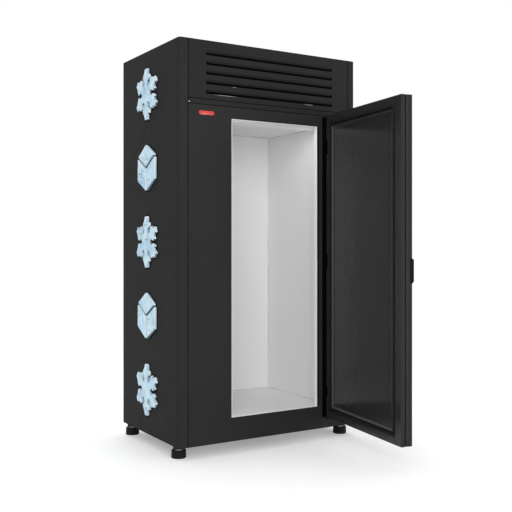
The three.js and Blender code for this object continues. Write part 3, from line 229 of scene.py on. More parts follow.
class Look:
    """A material made of nodes, with short calls for the ones used here."""

    def __init__(self, name):
        self.material = bpy.data.materials.new(name)
        self.material.use_nodes = True
        self.tree = self.material.node_tree
        self.shader = self.tree.nodes["Principled BSDF"]
        self.place = self.tree.nodes.new("ShaderNodeTexCoord").outputs["Object"]
        self.normal = None

    def node(self, kind, **settings):
        made = self.tree.nodes.new(kind)
        for key, value in settings.items():
            setattr(made, key, value)
        return made

    def feed(self, socket, value):
        """Links the socket, or sets it; a colour may come as three numbers."""
        if isinstance(value, bpy.types.NodeSocket):
            self.tree.links.new(value, socket)
        elif isinstance(value, tuple) and len(value) == 3 and socket.type == "RGBA":
            socket.default_value = (*value, 1)
        else:
            socket.default_value = value

    def stretched(self, *scale):
        """The object's coordinates, scaled."""
        mapping = self.node("ShaderNodeMapping")
        self.feed(mapping.inputs["Vector"], self.place)
        mapping.inputs["Scale"].default_value = scale
        return mapping.outputs[0]

    def noise(self, scale, detail, place=None, roughness=0.5):
        made = self.node("ShaderNodeTexNoise")
        self.feed(made.inputs["Vector"], place or self.place)
        made.inputs["Scale"].default_value = scale
        made.inputs["Detail"].default_value = detail
        made.inputs["Roughness"].default_value = roughness
        return made.outputs["Fac"]

    def cells(self, scale, output="Distance"):
        made = self.node("ShaderNodeTexVoronoi")
        self.feed(made.inputs["Vector"], self.place)
        made.inputs["Scale"].default_value = scale
        return made.outputs[output]

    def flakes(self, scale):
        """A random flat grey for each cell."""
        grey = self.node("ShaderNodeRGBToBW")
        self.feed(grey.inputs[0], self.cells(scale, "Color"))
        return grey.outputs[0]

    def fit(self, value, low, high, to_low=0.0, to_high=1.0):
        """Value from low..high brought to to_low..to_high, held at the ends."""
        made = self.node("ShaderNodeMapRange")
        self.feed(made.inputs["Value"], value)
        made.inputs["From Min"].default_value = low
        made.inputs["From Max"].default_value = high
        made.inputs["To Min"].default_value = to_low
        made.inputs["To Max"].default_value = to_high
        return made.outputs["Result"]

    def math(self, operation, *values):
        made = self.node("ShaderNodeMath", operation=operation)
        for socket, value in zip(made.inputs, values):
            self.feed(socket, value)
        return made.outputs[0]

    def blend(self, factor, a, b):
        """Colour a where the factor is 0, and b where it is 1."""
        made = self.node("ShaderNodeMix", data_type="RGBA")
        self.feed(made.inputs[0], factor)
        self.feed(made.inputs[MIX_A], a)
        self.feed(made.inputs[MIX_B], b)
        return made.outputs[MIX_RESULT]

    def colour(self, value):
        self.feed(self.shader.inputs["Base Color"], value)

    def rough(self, value):
        self.feed(self.shader.inputs["Roughness"], value)

    def specular(self, level):
        self.shader.inputs["Specular IOR Level"].default_value = level

    def bump(self, height, depth, strength=1.0):
        """Adds height times depth, in metres, to the surface."""
        made = self.node("ShaderNodeBump")
        made.inputs["Strength"].default_value = strength
        made.inputs["Distance"].default_value = depth
        self.feed(made.inputs["Height"], height)
        if self.normal is not None:
            self.feed(made.inputs["Normal"], self.normal)
        self.normal = made.outputs["Normal"]
        self.feed(self.shader.inputs["Normal"], self.normal)


def shade(colour, factor):
    """The colour, lighter or darker by a factor."""
    return tuple(part * factor for part in colour)


def powder_coat(name, colour, rough, specular, grain=1100, depth=0.00006):
    """Textured powder coat: orange peel, slow colour drift, faint upright streaks and dust specks."""
    look = Look(name)
    drift = look.noise(2.6, 3)
    tone = look.blend(look.fit(drift, 0.3, 0.7), shade(colour, 0.94), shade(colour, 1.06))
    streaks = look.noise(14, 3, look.stretched(1, 1, 0.12))
    tone = look.blend(look.fit(streaks, 0.55, 0.8, 0.0, 0.18), tone, shade(colour, 1.25))
    mottle = look.noise(90, 4, roughness=0.6)
    tone = look.blend(look.fit(mottle, 0.3, 0.7, 0.0, 0.3), tone, shade(colour, 0.8))
    specks = look.noise(420, 1)
    tone = look.blend(look.fit(specks, 0.68, 0.8, 0.0, 0.3), tone, shade(colour, 1.9))
    look.colour(tone)
    look.rough(look.fit(look.noise(22, 4), 0.3, 0.7, rough - 0.05, rough + 0.05))
    look.specular(specular)
    look.bump(look.noise(grain, 2), depth)
    look.bump(look.noise(5, 2), 0.0003, 0.5)
    return look.material


def enamelled_sheet(name, colour, rough=0.42):
    """Smooth white coated sheet with a slow drift, a little grime and faint ripples."""
    look = Look(name)
    drift = look.noise(1.8, 3)
    tone = look.blend(look.fit(drift, 0.3, 0.7), shade(colour, 0.97), colour)
    scuffs = look.noise(60, 5, look.stretched(1, 1, 0.25), 0.65)
    tone = look.blend(look.fit(scuffs, 0.6, 0.85, 0.0, 0.16), tone, shade(colour, 0.82))
    look.colour(tone)
    look.rough(look.fit(look.noise(30, 4), 0.3, 0.7, rough - 0.06, rough + 0.06))
    look.specular(0.4)
    look.bump(look.noise(1500, 1), 0.00003)
    look.bump(look.noise(3.5, 2), 0.0008, 0.5)
    return look.material


def moulded(name, colour, rough=0.55, grain=1600, specular=0.12):
    """Moulded plastic or rubber with a fine spark-eroded grain."""
    look = Look(name)
    tone = look.blend(look.fit(look.noise(9, 4), 0.3, 0.7), shade(colour, 0.85), shade(colour, 1.25))
    dust = look.noise(300, 3)
    look.colour(look.blend(look.fit(dust, 0.6, 0.8, 0.0, 0.3), tone, shade(colour, 2.4)))
    look.rough(look.fit(look.noise(60, 3), 0.3, 0.7, rough - 0.07, rough + 0.07))
    look.specular(specular)
    look.bump(look.noise(grain, 2), 0.00008)
    return look.material


def bright_metal(name, colour, rough, brushed, spangle=0.0):
    """Bare metal with drawn lines, smudges and, for zinc, crystal patches."""
    look = Look(name)
    smudge = look.noise(24, 4)
    tone = look.blend(look.fit(smudge, 0.3, 0.75), shade(colour, 0.90), colour)
    gloss = look.fit(look.noise(40, 4), 0.3, 0.7, rough - 0.08, rough + 0.1)
    if spangle:
        small = look.math("MULTIPLY", look.flakes(150), 0.35)
        crystals = look.math("MULTIPLY_ADD", look.flakes(65), 0.65, small)
        tone = look.blend(look.math("MULTIPLY", crystals, spangle), tone, shade(colour, 0.45))
        gloss = look.math("ADD", gloss, look.math("MULTIPLY", crystals, 0.12))
    look.colour(tone)
    look.shader.inputs["Metallic"].default_value = 1.0
    look.rough(gloss)
    look.bump(look.noise(260, 2, look.stretched(*brushed)), 0.00004)
    return look.material


FOAM_TONES = (0.62, 0.52, 0.33), (0.74, 0.64, 0.43)


def foam_look():
    """Cream foam with fine cells."""
    look = Look("foam_cells")
    look.colour(look.blend(look.noise(30, 4), *FOAM_TONES))
    look.rough(0.9)
    look.bump(look.cells(700), 0.0004)
    return look.material


LOUVRE_SHADE_TONES = (0.0008, 0.0008, 0.0008), (0.0045, 0.0045, 0.0045)


def louvre_shade_look():
    """Near-black open-cell sheet: painted shade behind the louvres."""
    look = Look("louvre_shade_cells")
    pores = look.cells(420)
    look.colour(look.blend(look.fit(pores, 0.1, 0.6), *LOUVRE_SHADE_TONES))
    look.rough(0.95)
    look.specular(0.0)
    look.bump(pores, 0.0008)
    return look.material


OPAL_TONES = (0.86, 0.87, 0.88), (0.92, 0.93, 0.94)
OPAL_RIBS = 40
LAMP_GLOW = 0.04


def opal_look():
    """Lit opal lamp cover with fine ribs along it."""
    look = Look("opal_cover")
    ribs = look.node("ShaderNodeTexWave", wave_type="BANDS", bands_direction="Y")
    look.feed(ribs.inputs["Vector"], look.place)
    ribs.inputs["Scale"].default_value = OPAL_RIBS
    look.colour(look.blend(look.noise(8, 2), *OPAL_TONES))
    look.rough(0.4)
    look.bump(ribs.outputs["Fac"], 0.0004)
    look.shader.inputs["Emission Color"].default_value = WHITE
    look.shader.inputs["Emission Strength"].default_value = LAMP_GLOW
    return look.material


ICE_TONES = (0.40, 0.66, 0.87), (0.62, 0.86, 0.98)
FROST_WHITE = (0.80, 0.95, 1.0)
CRACK_SLATE = (0.10, 0.16, 0.21)
CRACK_SLANT = (0.75, 0, 0)
CRACK_STRETCH = (1, 4, 12)
CRACK_LEVEL = 0.52  # the cracks follow this contour of the noise


def ice_look():
    """Ice on the signs: pale blue clouds, white frost and slanting slate cracks under a gloss."""
    look = Look("ice_face")
    tone = look.blend(look.fit(look.noise(15, 3), 0.36, 0.64), *ICE_TONES)
    frost = look.noise(34, 4, roughness=0.6)
    tone = look.blend(look.fit(frost, 0.54, 0.70, 0.0, 0.7), tone, FROST_WHITE)
    slant = look.stretched(*CRACK_STRETCH)
    slant.node.inputs["Rotation"].default_value = CRACK_SLANT
    waves = look.noise(1.9, 3, slant, 0.45)
    line = look.math("ABSOLUTE", look.math("SUBTRACT", waves, CRACK_LEVEL))
    broad = look.fit(line, 0.0, 0.055, 0.35, 0.0)
    fine = look.fit(line, 0.0, 0.012, 0.85, 0.0)
    patches = look.fit(look.noise(10, 2), 0.47, 0.58)
    crack = look.math("MULTIPLY", look.math("MAXIMUM", broad, fine), patches)
    look.colour(look.blend(crack, tone, CRACK_SLATE))
    look.rough(look.fit(frost, 0.35, 0.7, 0.14, 0.34))
    look.bump(look.fit(line, 0.0, 0.03), 0.0006, 0.5)
    look.bump(frost, 0.0012, 0.4)
    return look.material


FINE = dict(grain=1400, depth=0.00002)  # surface of the smoother coats

# One look for each material slot, then the looks of single nodes and pieces
LOOKS = {
    "body_paint": powder_coat("charcoal_coat", (0.0262, 0.0262, 0.0266), rough=0.58, specular=0.03),
    "white_sheet": enamelled_sheet("white_enamel", (0.88, 0.88, 0.885)),
    "opal_diffuser": opal_look(),
    "galvanised_steel": bright_metal(
        "galvanised_sheet", (0.44, 0.45, 0.46), rough=0.42, brushed=(1, 1, 1), spangle=0.6
    ),
    "zinc_steel": bright_metal("zinc_plate", (0.58, 0.58, 0.57), rough=0.34, brushed=(1, 1, 8)),
    "copper": bright_metal("copper_tube", (0.70, 0.36, 0.22), rough=0.3, brushed=(1, 1, 1)),
    "aluminium": bright_metal("aluminium_fins", (0.66, 0.67, 0.68), rough=0.36, brushed=(1, 1, 6)),
    "black_enamel": powder_coat("black_enamel", (0.010, 0.010, 0.011), rough=0.35, specular=0.3, grain=500),
    "black_plastic": moulded("black_plastic", (0.007, 0.007, 0.0075)),
    "rubber": moulded("black_rubber", (0.0105, 0.0105, 0.0105), rough=0.75, grain=900, specular=0.08),
    "foam": foam_look(),
    "ice_sign": ice_look(),
    "red_plate": powder_coat("red_enamel", (0.55, 0.03, 0.025), rough=0.28, specular=0.5, grain=700),
}
DEEP_BLACK = moulded("deep_black", (0.0016, 0.0016, 0.0016), rough=0.9, grain=900, specular=0.02)
HANDLE_BLACK = moulded("handle_black", (0.0030, 0.0030, 0.0030), rough=0.6, grain=1200, specular=0.06)
PANEL_COAT = powder_coat("panel_coat", (0.0218, 0.0221, 0.0233), rough=0.20, specular=0.26, **FINE)
# A darker copy of the body coat: painted shade on the louvre panel, cross rail and right front post
SHADE_PAINTED_COAT = powder_coat("shade_painted_coat", (0.0226, 0.0226, 0.0229), rough=0.58, specular=0.03)
FRAME_COAT = powder_coat("frame_coat", (0.0262, 0.0262, 0.0266), rough=0.22, specular=0.30, **FINE)
# A lighter copy of the body coat: painted light on the hinge jamb plate
JAMB_LIGHT_PAINTED_COAT = powder_coat("jamb_light_painted_coat", (0.0315, 0.0315, 0.0319), rough=0.55, specular=0.03)
# Lighter coat for the rims in the door's free edge: painted highlight
RIM_HIGHLIGHT_COAT = powder_coat("rim_highlight_coat", (0.046, 0.046, 0.047), rough=0.45, specular=0.06, **FINE)
# A touch lighter than the rubber: painted light on the gasket's flange
SEAL_FLANGE_LIGHT = moulded("seal_flange_painted_light", (0.011, 0.011, 0.011), rough=0.7, grain=900, specular=0.1)
SEALANT = moulded("sealant", (0.66, 0.66, 0.67), rough=0.5, grain=700, specular=0.3)
# Dark slate for the signs' downward bevels: painted shade
SIGN_PAINTED_SHADE = enamelled_sheet("sign_painted_shade", (0.15, 0.195, 0.235), rough=0.3)
# Near-black sheet behind the louvres: painted shade
LOUVRE_SHADE_BLACK = louvre_shade_look()
# Pale blue for the signs' other bevels: painted highlight
SIGN_PAINTED_HIGHLIGHT = enamelled_sheet("sign_painted_highlight", (0.74, 0.87, 0.96), rough=0.25)
# Bright metal for slivers that paint highlights on the slots' lower edges
SLOT_EDGE_HIGHLIGHT = bright_metal("slot_edge_highlight", (0.30, 0.30, 0.30), rough=0.5, brushed=(8, 1, 1))
# Lighter coat on the door panel's bead: painted highlight
BEAD_HIGHLIGHT_COAT = powder_coat("bead_highlight_coat", (0.068, 0.068, 0.070), rough=0.34, specular=0.2, **FINE)
# Near-black for the pipes, drier, deck and condenser behind the louvres: painted shade of the dark machine
# room, with the condenser's own black coat
MACHINE_SHADE_BLACK = moulded("machine_shade_black", (0.003, 0.003, 0.003), rough=0.7, grain=500, specular=0.05)
MACHINE_SHADE_NODES = ("discharge_line", "suction_line", "filter_drier", "condenser_coil", "machine_deck")
# Nodes that take the darker copy of the body coat as painted shade
SHADE_PAINTED_NODES = ("louvre_panel", "cross_rail", "right_front_post")
NODE_LOOKS = {
    **dict.fromkeys(MACHINE_SHADE_NODES, MACHINE_SHADE_BLACK),
    **dict.fromkeys(SHADE_PAINTED_NODES, SHADE_PAINTED_COAT),
    "hinge_jamb_plate": JAMB_LIGHT_PAINTED_COAT,
    "door_inner_frame": FRAME_COAT,
    "door_handle": HANDLE_BLACK,
}


def dress_frame():
    """Gives each node of the frame the look of its material slot, or its own."""
    for part in frame["record"]["subparts"]:
        data = frame["nodes"][part["node"]].data
        data.materials.clear()
        data.materials.append(NODE_LOOKS.get(part["node"], LOOKS[part["material_slot"]]))


SHARP = math.radians(32)  # edges that turn more than this are sharp
WELD_REACH = 0.00001
SOFT_NODES = {  # by the width of the rounding
    0.0006: (
        "left_side_panel", "right_side_panel", "left_front_post", "right_front_post", "top_panel",
        "base_panel", "front_fascia", "hinge_jamb_plate", "cross_rail", "louvre_panel",
        "door_outer_pan", "door_inner_frame", "upper_hinge_bracket", "lower_hinge_bracket",
    ),
    0.0020: ("door_handle",),
    0.0010: ("control_box", "cord_gland"),
}


def soften_frame():
    """Rounds the sharp edges of the frame's own nodes."""
    for width, names in SOFT_NODES.items():
        for name in names:
            made = frame["nodes"][name]
            weld = made.modifiers.new("weld", "WELD")
            weld.merge_threshold = WELD_REACH
            bevel = made.modifiers.new("bevel", "BEVEL")
            bevel.width = width
            bevel.segments = 2
            bevel.limit_method = "ANGLE"
            bevel.angle_limit = SHARP
            bevel.harden_normals = True
            bevel.use_clamp_overlap = True


# ---------------------------------------------------------------- mesh helpers


def piece(name, built, slot, body, *looks):
    """Makes an object of a bmesh, with its slot's look or its own, and lets it ride on a body."""
    bmesh.ops.recalc_face_normals(built, faces=built.faces)
    for face in built.faces:
        face.smooth = True
    for edge in built.edges:
        edge.smooth = len(edge.link_faces) == 2 and edge.calc_face_angle(0) < SHARP
    mesh = bpy.data.meshes.new(name)
    built.to_mesh(mesh)
    built.free()
    for look in looks or (LOOKS[slot],):
        mesh.materials.append(look)
    made = bpy.data.objects.new(name, mesh)
    bpy.context.scene.collection.objects.link(made)
    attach(made, body)
    return made


def add_prism(built, outline, low, high, place, bevel=0.0, steps=2):
    """A prism on an outline in the local XY plane, with its high edges rounded."""
    below = [built.verts.new(place @ Vector((x, y, low))) for x, y in outline]
    above = [built.verts.new(place @ Vector((x, y, high))) for x, y in outline]
    count = len(outline)
    built.faces.new(below)
    top = built.faces.new(above)
    for i in range(count):
        k = (i + 1) % count
        built.faces.new((below[i], below[k], above[k], above[i]))
    if bevel:
        edges = list(top.edges)
        bmesh.ops.bevel(
            built, geom=edges, offset=bevel, segments=steps, profile=0.5, affect="EDGES", clamp_overlap=True
        )


def add_turned(built, profile, place, sides):
    """A body turned about the local Z axis; profile is (radius, height) from axis to axis."""
    rings = []
    for radius, height in profile:
        if radius == 0:
            rings.append([built.verts.new(place @ Vector((0, 0, height)))])
            continue
        ring = []
        for i in range(sides):
            angle = 2 * math.pi * i / sides
            spot = Vector((radius * math.cos(angle), radius * math.sin(angle), height))
            ring.append(built.verts.new(place @ spot))
        rings.append(ring)
    for low, high in zip(rings, rings[1:]):
        for i in range(sides):
            k = (i + 1) % sides
            corners = [low[i % len(low)], low[k % len(low)], high[k % len(high)], high[i % len(high)]]
            built.faces.new(tuple(dict.fromkeys(corners)))


def rectangle(x0, y0, x1, y1):
    """Its corners, from the lower left one to the upper left one."""
    return [(x0, y0), (x1, y0), (x1, y1), (x0, y1)]


def add_box(built, low, high, bevel=0.0):
    """A block between two corners."""
    (x0, y0, z0), (x1, y1, z1) = low, high
    add_prism(built, rectangle(x0, y0, x1, y1), z0, z1, Matrix.Identity(4), bevel)


def arc(centre, radii, start, end, steps):
    """Points of an arc between two angles in degrees; the two radii are its reach along X and Y."""
    points = []
    for i in range(steps + 1):
        angle = math.radians(start + (end - start) * i / steps)
        points.append((centre[0] + radii[0] * math.cos(angle), centre[1] + radii[1] * math.sin(angle)))
    return points


def rounded_rect(width, height, radius, steps=5):
    """A rectangle with round corners, round the origin."""
    x, y = width / 2 - radius, height / 2 - radius
    points = []
    for centre, start in (((x, y), 0), ((-x, y), 90), ((-x, -y), 180), ((x, -y), 270)):
        points += arc(centre, (radius, radius), start, start + 90, steps)
    return points


CORNER_SHARE = 0.45  # of a side, at most, for a rounded corner


def softened(outline, radius, steps=3):
    """The outline with its corners rounded."""
    points = []
    count = len(outline)
    for i in range(count):
        before, here, after = (Vector(outline[(i + k) % count]) for k in (-1, 0, 1))
        back, on = before - here, after - here
        half = back.angle(on) / 2
        reach = min(radius / math.tan(half), CORNER_SHARE * min(back.length, on.length))
        arm = reach * math.tan(half)
        centre = here + (back.normalized() + on.normalized()).normalized() * (arm / math.sin(half))
        first = here + back.normalized() * reach - centre
        last = here + on.normalized() * reach - centre
        for k in range(steps + 1):
            points.append(tuple(centre + first.lerp(last, k / steps).normalized() * arm))
    return points


def facing(origin, right, up):
    """A place whose local X runs to the right, Y up and Z out of the surface."""
    right, up = Vector(right), Vector(up)
    out = right.cross(up)
    turn = Matrix((right, up, out)).transposed().to_4x4()
    return Matrix.Translation(origin) @ turn


# ---------------------------------------------------------------- side signs and front plate

SIGN_COUNT = 5
SIGN_Y = 0.371  # front face to the signs' centres
SIGN_TOP = 0.231  # body top to the first centre
SIGN_PITCH = 0.392
SIGN_PROUD = 0.0135
SIGN_BEVEL = 0.0055
SIGN_CORNER = 0.0065
SIGN_BACKING = 0.0015
SIGN_RIM = 0.0055  # backing past the sign
CUBE_R = 0.131
CUBE_GAP = 0.012
FLAKE_R = 0.137
# Shares of the flake's radius
ARM_HALF = 0.13
ARM_ROOT = 0.2252  # middle to where two arms meet
TWIG_REACH = 0.29
TWIG_RISE = 0.092
TWIG_LOW, TWIG_HIGH = 0.49, 0.708


def snowflake(radius):
    """One outline: six arms, each with a pair of twigs."""
    half = [(ARM_HALF, ARM_ROOT), (ARM_HALF, TWIG_LOW), (TWIG_REACH, TWIG_LOW + TWIG_RISE)]
    half += [(TWIG_REACH, TWIG_HIGH + TWIG_RISE), (ARM_HALF, TWIG_HIGH), (ARM_HALF, 1.0)]
    left = [(-x, y) for x, y in half]
    arm = left + half[:0:-1]
    points = []
    for i in range(6):
        turn = Matrix.Rotation(-math.radians(60 * i), 2)
        for spot in arm:
            points.append(tuple(turn @ Vector(spot) * radius))
    return points


CUBE_HEART = 1.15  # widens the gap where the three faces meet


def ice_cube(radius, gap):
    """Three rhombi with a gap between them, as a cube seen from a corner."""
    faces = []
    half = gap / 2 / math.cos(math.radians(30))
    side = radius * math.cos(math.radians(30)) - half
    for i in range(3):
        turn = Matrix.Rotation(math.radians(120 * i), 2)
        edge = [(0, half * CUBE_HEART), (side, radius / 2), (0, radius - half), (-side, radius / 2)]
        faces.append([tuple(turn @ Vector(spot)) for spot in edge])
    return faces


MITRE_LIMIT = 0.35  # keeps the mitre of a sharp corner short


def grown(outline, by):
    """The outline moved outward by a distance, corners mitred."""
    area = sum(a[0] * b[1] - b[0] * a[1] for a, b in zip(outline, outline[1:] + outline[:1]))
    side = 1 if area > 0 else -1
    moved = []
    count = len(outline)
    for i in range(count):
        before, here, after = (Vector(outline[(i + k) % count]) for k in (-1, 0, 1))
        first, second = (here - before).normalized(), (after - here).normalized()
        normals = [Vector((d.y, -d.x)) * side for d in (first, second)]
        middle = (normals[0] + normals[1]).normalized()
        moved.append(tuple(here + middle * (by / max(MITRE_LIMIT, middle.dot(normals[0])))))
    return moved


ICE_FACE, ICE_SHADE, ICE_HIGHLIGHT = 0, 1, 2  # materials of a sign: ice, painted shade on the downward bevels, painted highlight on the others
FLAT, DOWNWARD = 0.98, -0.35  # limits on a face's normal, outward and upward


def coat_sign(built, place):
    """Flat faces show ice; the downward bevels get a slate painted shade and the others a pale painted
    highlight.
    """
    local = place.to_3x3().inverted()
    for face in built.faces:
        face.normal_update()
        normal = local @ face.normal
        if normal.z > FLAT:
            face.material_index = ICE_FACE
        else:
            face.material_index = ICE_SHADE if normal.y < DOWNWARD else ICE_HIGHLIGHT


def side_signs():
    """Raised signs down the left side, snowflakes and ice cubes by turns, each on a dark backing."""
    for i in range(SIGN_COUNT):
        centre = Vector((SIDE_X, FRONT_Y + SIGN_Y, TOP_Z - SIGN_TOP - SIGN_PITCH * i))
        place = facing(centre, FRONT, UP)
        outlines = ice_cube(CUBE_R, CUBE_GAP) if i % 2 else [snowflake(FLAKE_R)]
        outlines = [softened(outline, SIGN_CORNER) for outline in outlines]
        face, backing = bmesh.new(), bmesh.new()
        for outline in outlines:
            add_prism(face, outline, SIGN_BACKING, SIGN_PROUD, place, SIGN_BEVEL, steps=3)
            add_prism(backing, grown(outline, SIGN_RIM), SEAT_AIR, SIGN_BACKING, place)
        bmesh.ops.recalc_face_normals(face, faces=face.faces)
        coat_sign(face, place)
        coats = LOOKS["ice_sign"], SIGN_PAINTED_SHADE, SIGN_PAINTED_HIGHLIGHT
        piece(f"side_sign_{i + 1}", face, "ice_sign", "cabinet", *coats)
        piece(f"side_sign_{i + 1}_backing", backing, "black_plastic", "cabinet", DEEP_BLACK)


# Plate on the front, from the body's lower left corner
PLATE_X0, PLATE_X1 = 0.110, 0.196
PLATE_Z0, PLATE_Z1 = 1.6605, 1.6805
PLATE_T = 0.0022
PLATE_R = 0.0065
PLATE_BEVEL = 0.0007


def front_plate():
    """Small blank plate on the header."""
    centre = at((PLATE_X0 + PLATE_X1) / 2, -SEAT_AIR, (PLATE_Z0 + PLATE_Z1) / 2)
    place = facing(centre, RIGHT, UP)
    outline = rounded_rect(PLATE_X1 - PLATE_X0, PLATE_Z1 - PLATE_Z0, PLATE_R)
    built = bmesh.new()
    add_prism(built, outline, 0, PLATE_T, place, PLATE_BEVEL, steps=3)
    piece("front_plate", built, "red_plate", "cabinet")


# ---------------------------------------------------------------- door

# Gasket's section: distance in from the frame's inner edge, and height above the door's inner face
GASKET_FLANGE = ((0.0004, -0.0056), (0.0004, -0.0004), (0.0012, 0.0006), (0.0058, 0.0010))
GASKET_BULB = (0.0102, 0.0044)
GASKET_BULB_R = (0.0040, 0.0031)
GASKET_HEEL = ((0.0140, 0.0012), (0.0146, -0.0036), (0.0176, -0.0040), (0.0176, -0.0056))


def gasket_section():
    """Flange, bulb and heel, from the frame's side to the panel's."""
    return [*GASKET_FLANGE, *arc(GASKET_BULB, GASKET_BULB_R, 180, 0, 8), *GASKET_HEEL]


def frame_corners(inset):
    """Corners of the door frame's inner edge, moved inward, in the door's own frame."""
    x0, x1 = DOOR_X0 + FRAME_FREE + inset, DOOR_X1 - FRAME_HINGE - inset
    z0, z1 = DOOR_Z0 + FRAME_END + inset, DOOR_Z1 - FRAME_END - inset
    return rectangle(x0, z0, x1, z1)


PANEL_EDGE = 0.0183  # frame's inner edge to the panel's edge
PANEL_FACE = -0.0040  # panel's field below the door's inner face
PANEL_T = 0.0015
BEAD_W, BEAD_H = 0.0118, 0.0042
BEAD_FOOT = 0.0004  # panel's edge to the bead
DIP_IN, DIP_DEPTH = 0.0030, 0.0004  # groove inside the bead
FIELD_IN = 0.0120  # where the panel's flat field starts
BEAD_HIGHLIGHT_RUNS = (0, 1, 3)  # bottom, hinge side and free side, where a lighter coat paints the bead's highlight


def panel_section():
    """From the panel's back to its field, over the pressed bead."""
    inner = PANEL_EDGE + BEAD_W
    crown = (PANEL_EDGE + BEAD_FOOT + BEAD_W / 2, PANEL_FACE)
    section = [(PANEL_EDGE, PANEL_FACE - PANEL_T), (PANEL_EDGE, PANEL_FACE)]
    section += arc(crown, (BEAD_W / 2, BEAD_H), 180, 0, 12)
    section += [(inner + DIP_IN, PANEL_FACE - DIP_DEPTH), (inner + FIELD_IN, PANEL_FACE)]
    return section


def add_loops(built, section, place, close=False):
    """Sweeps a section round the door frame's inner edge, mitred at the corners, and returns its bands."""
    loops = []
    for inset, height in section:
        spots = [Vector((x, DOOR_Y1 + height, z)) for x, z in frame_corners(inset)]
        loops.append([built.verts.new(place @ spot) for spot in spots])
    bands = []
    following = loops[1:] + loops[:1] if close else loops[1:]
    for here, there in zip(loops, following):
        bands.append([])
        for c in range(4):
            d = (c + 1) % 4
            bands[-1].append(built.faces.new((here[c], here[d], there[d], there[c])))
    if not close:
        built.faces.new(loops[0])
        built.faces.new(loops[-1])
    return bands


def coat(bands, index):
    """Gives the faces of some bands the material of that index."""
    for band in bands:
        for face in band:
            face.material_index = index


TRIM = 1  # second material of the seal and of the inner panel: painted light on the seal's flange, painted highlight on the bead


def door_seal():
    """The gasket, its flange a touch lighter than the bulb: painted light on the lip."""
    built = bmesh.new()
    bands = add_loops(built, gasket_section(), door_place(), close=True)
    coat(bands[: len(GASKET_FLANGE) - 1], TRIM)
    seal = piece("door_seal", built, "rubber", "door", LOOKS["rubber"], SEAL_FLANGE_LIGHT)
    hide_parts("door_gasket")


def door_liner_panel():
    """The door's inner panel with its pressed bead, lighter on three runs as a painted highlight."""
    built = bmesh.new()
    bead = add_loops(built, panel_section(), door_place())[1:-1]
    coat([[band[run] for run in BEAD_HIGHLIGHT_RUNS] for band in bead], TRIM)
    panel = piece("door_liner_panel", built, "body_paint", "door", PANEL_COAT, BEAD_HIGHLIGHT_COAT)
    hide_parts("door_inner_panel")


WRAP_Z = (0.826, 0.944)  # above the body's underside
WRAP_Y = (0.0003, 0.012)  # behind the door's outer face
WRAP_T = 0.0012
WRAP_CORNER = 0.003
WRAP_BEVEL = 0.0005


def handle_wrap():
    """The handle's base, a plate on the free edge of the door's outer pan."""
    built = bmesh.new()
    edge = door_place() @ facing((DOOR_X0 - SEAT_AIR, DOOR_Y0, 0), FRONT, UP)
    outline = softened(rectangle(-WRAP_Y[1], WRAP_Z[0], -WRAP_Y[0], WRAP_Z[1]), WRAP_CORNER)
    add_prism(built, outline, 0, WRAP_T, edge, WRAP_BEVEL)
    piece("handle_wrap", built, "black_plastic", "door", HANDLE_BLACK)


PAINT, RIM_HIGHLIGHT, GROOVE_SHADE = 0, 1, 2  # materials of the bands: paint, painted highlight and painted shade
# Each band's start and end, as depth from the pivot, and its material
EDGE_BANDS = (
    (0.0110, 0.0149, RIM_HIGHLIGHT),  # outer pan's rim, lighter as a painted highlight
    (0.0221, 0.0286, GROOVE_SHADE),  # near-black band over the inner frame's edge, painted shade that widens the groove
    (0.0286, 0.0318, RIM_HIGHLIGHT),  # inner frame's rim, lighter as a painted highlight
    (0.0318, 0.0434, PAINT),  # inner frame's side
)
EDGE_BAND_END = 0.002  # from the door's ends


def edge_bands():
    """Bands along the groove in the door's free edge: paint, painted highlights on the rims, and a
    near-black band of painted shade beside the groove.
    """
    built = bmesh.new()
    edge = door_place() @ facing((DOOR_X0 - SKIN_AIR, 0, 0), FRONT, UP)
    bottom, top = DOOR_Z0 + EDGE_BAND_END, DOOR_Z1 - EDGE_BAND_END
    for low, high, index in EDGE_BANDS:
        known = set(built.faces)
        add_prism(built, rectangle(-high, bottom, -low, top), 0, FILM_T, edge)
        for face in set(built.faces) - known:
            face.material_index = index
    coats = LOOKS["body_paint"], RIM_HIGHLIGHT_COAT, LOOKS["rubber"]
    piece("edge_bands", built, "body_paint", "door", *coats)


# ---------------------------------------------------------------- seams and the room

SEAM_SHADE_OUT = 0.002  # fascia's edge to the middle of the strip of painted shade
SEAM_SHADE_HALF = 0.003
SEAM_SHADE_Y = (0.01412, 0.01450)  # behind the front face
SEAM_SHADE_END = 0.004  # from the body's ends


def seam_shade_strips():
    """Dark strips behind the upright seams of the front: painted shade in the seams."""
    built = bmesh.new()
    low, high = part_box("front_fascia")
    for x in (low.x - SEAM_SHADE_OUT, high.x + SEAM_SHADE_OUT):
        start = (x - SEAM_SHADE_HALF, FRONT_Y + SEAM_SHADE_Y[0], BASE_Z + SEAM_SHADE_END)
        end = (x + SEAM_SHADE_HALF, FRONT_Y + SEAM_SHADE_Y[1], TOP_Z - SEAM_SHADE_END)
        add_box(built, start, end)
    piece("seam_shade_strips", built, "black_plastic", "cabinet", DEEP_BLACK)


# Inner faces of the ice room, from the body's front lower left corner
ROOM_X0, ROOM_X1 = 0.062, 0.920
ROOM_Y0, ROOM_Y1 = 0.060, 0.625
ROOM_Z0, ROOM_Z1 = 0.1253, 1.6617
SEALANT_R = 0.0045
SEALANT_START = 0.004  # behind the room's front


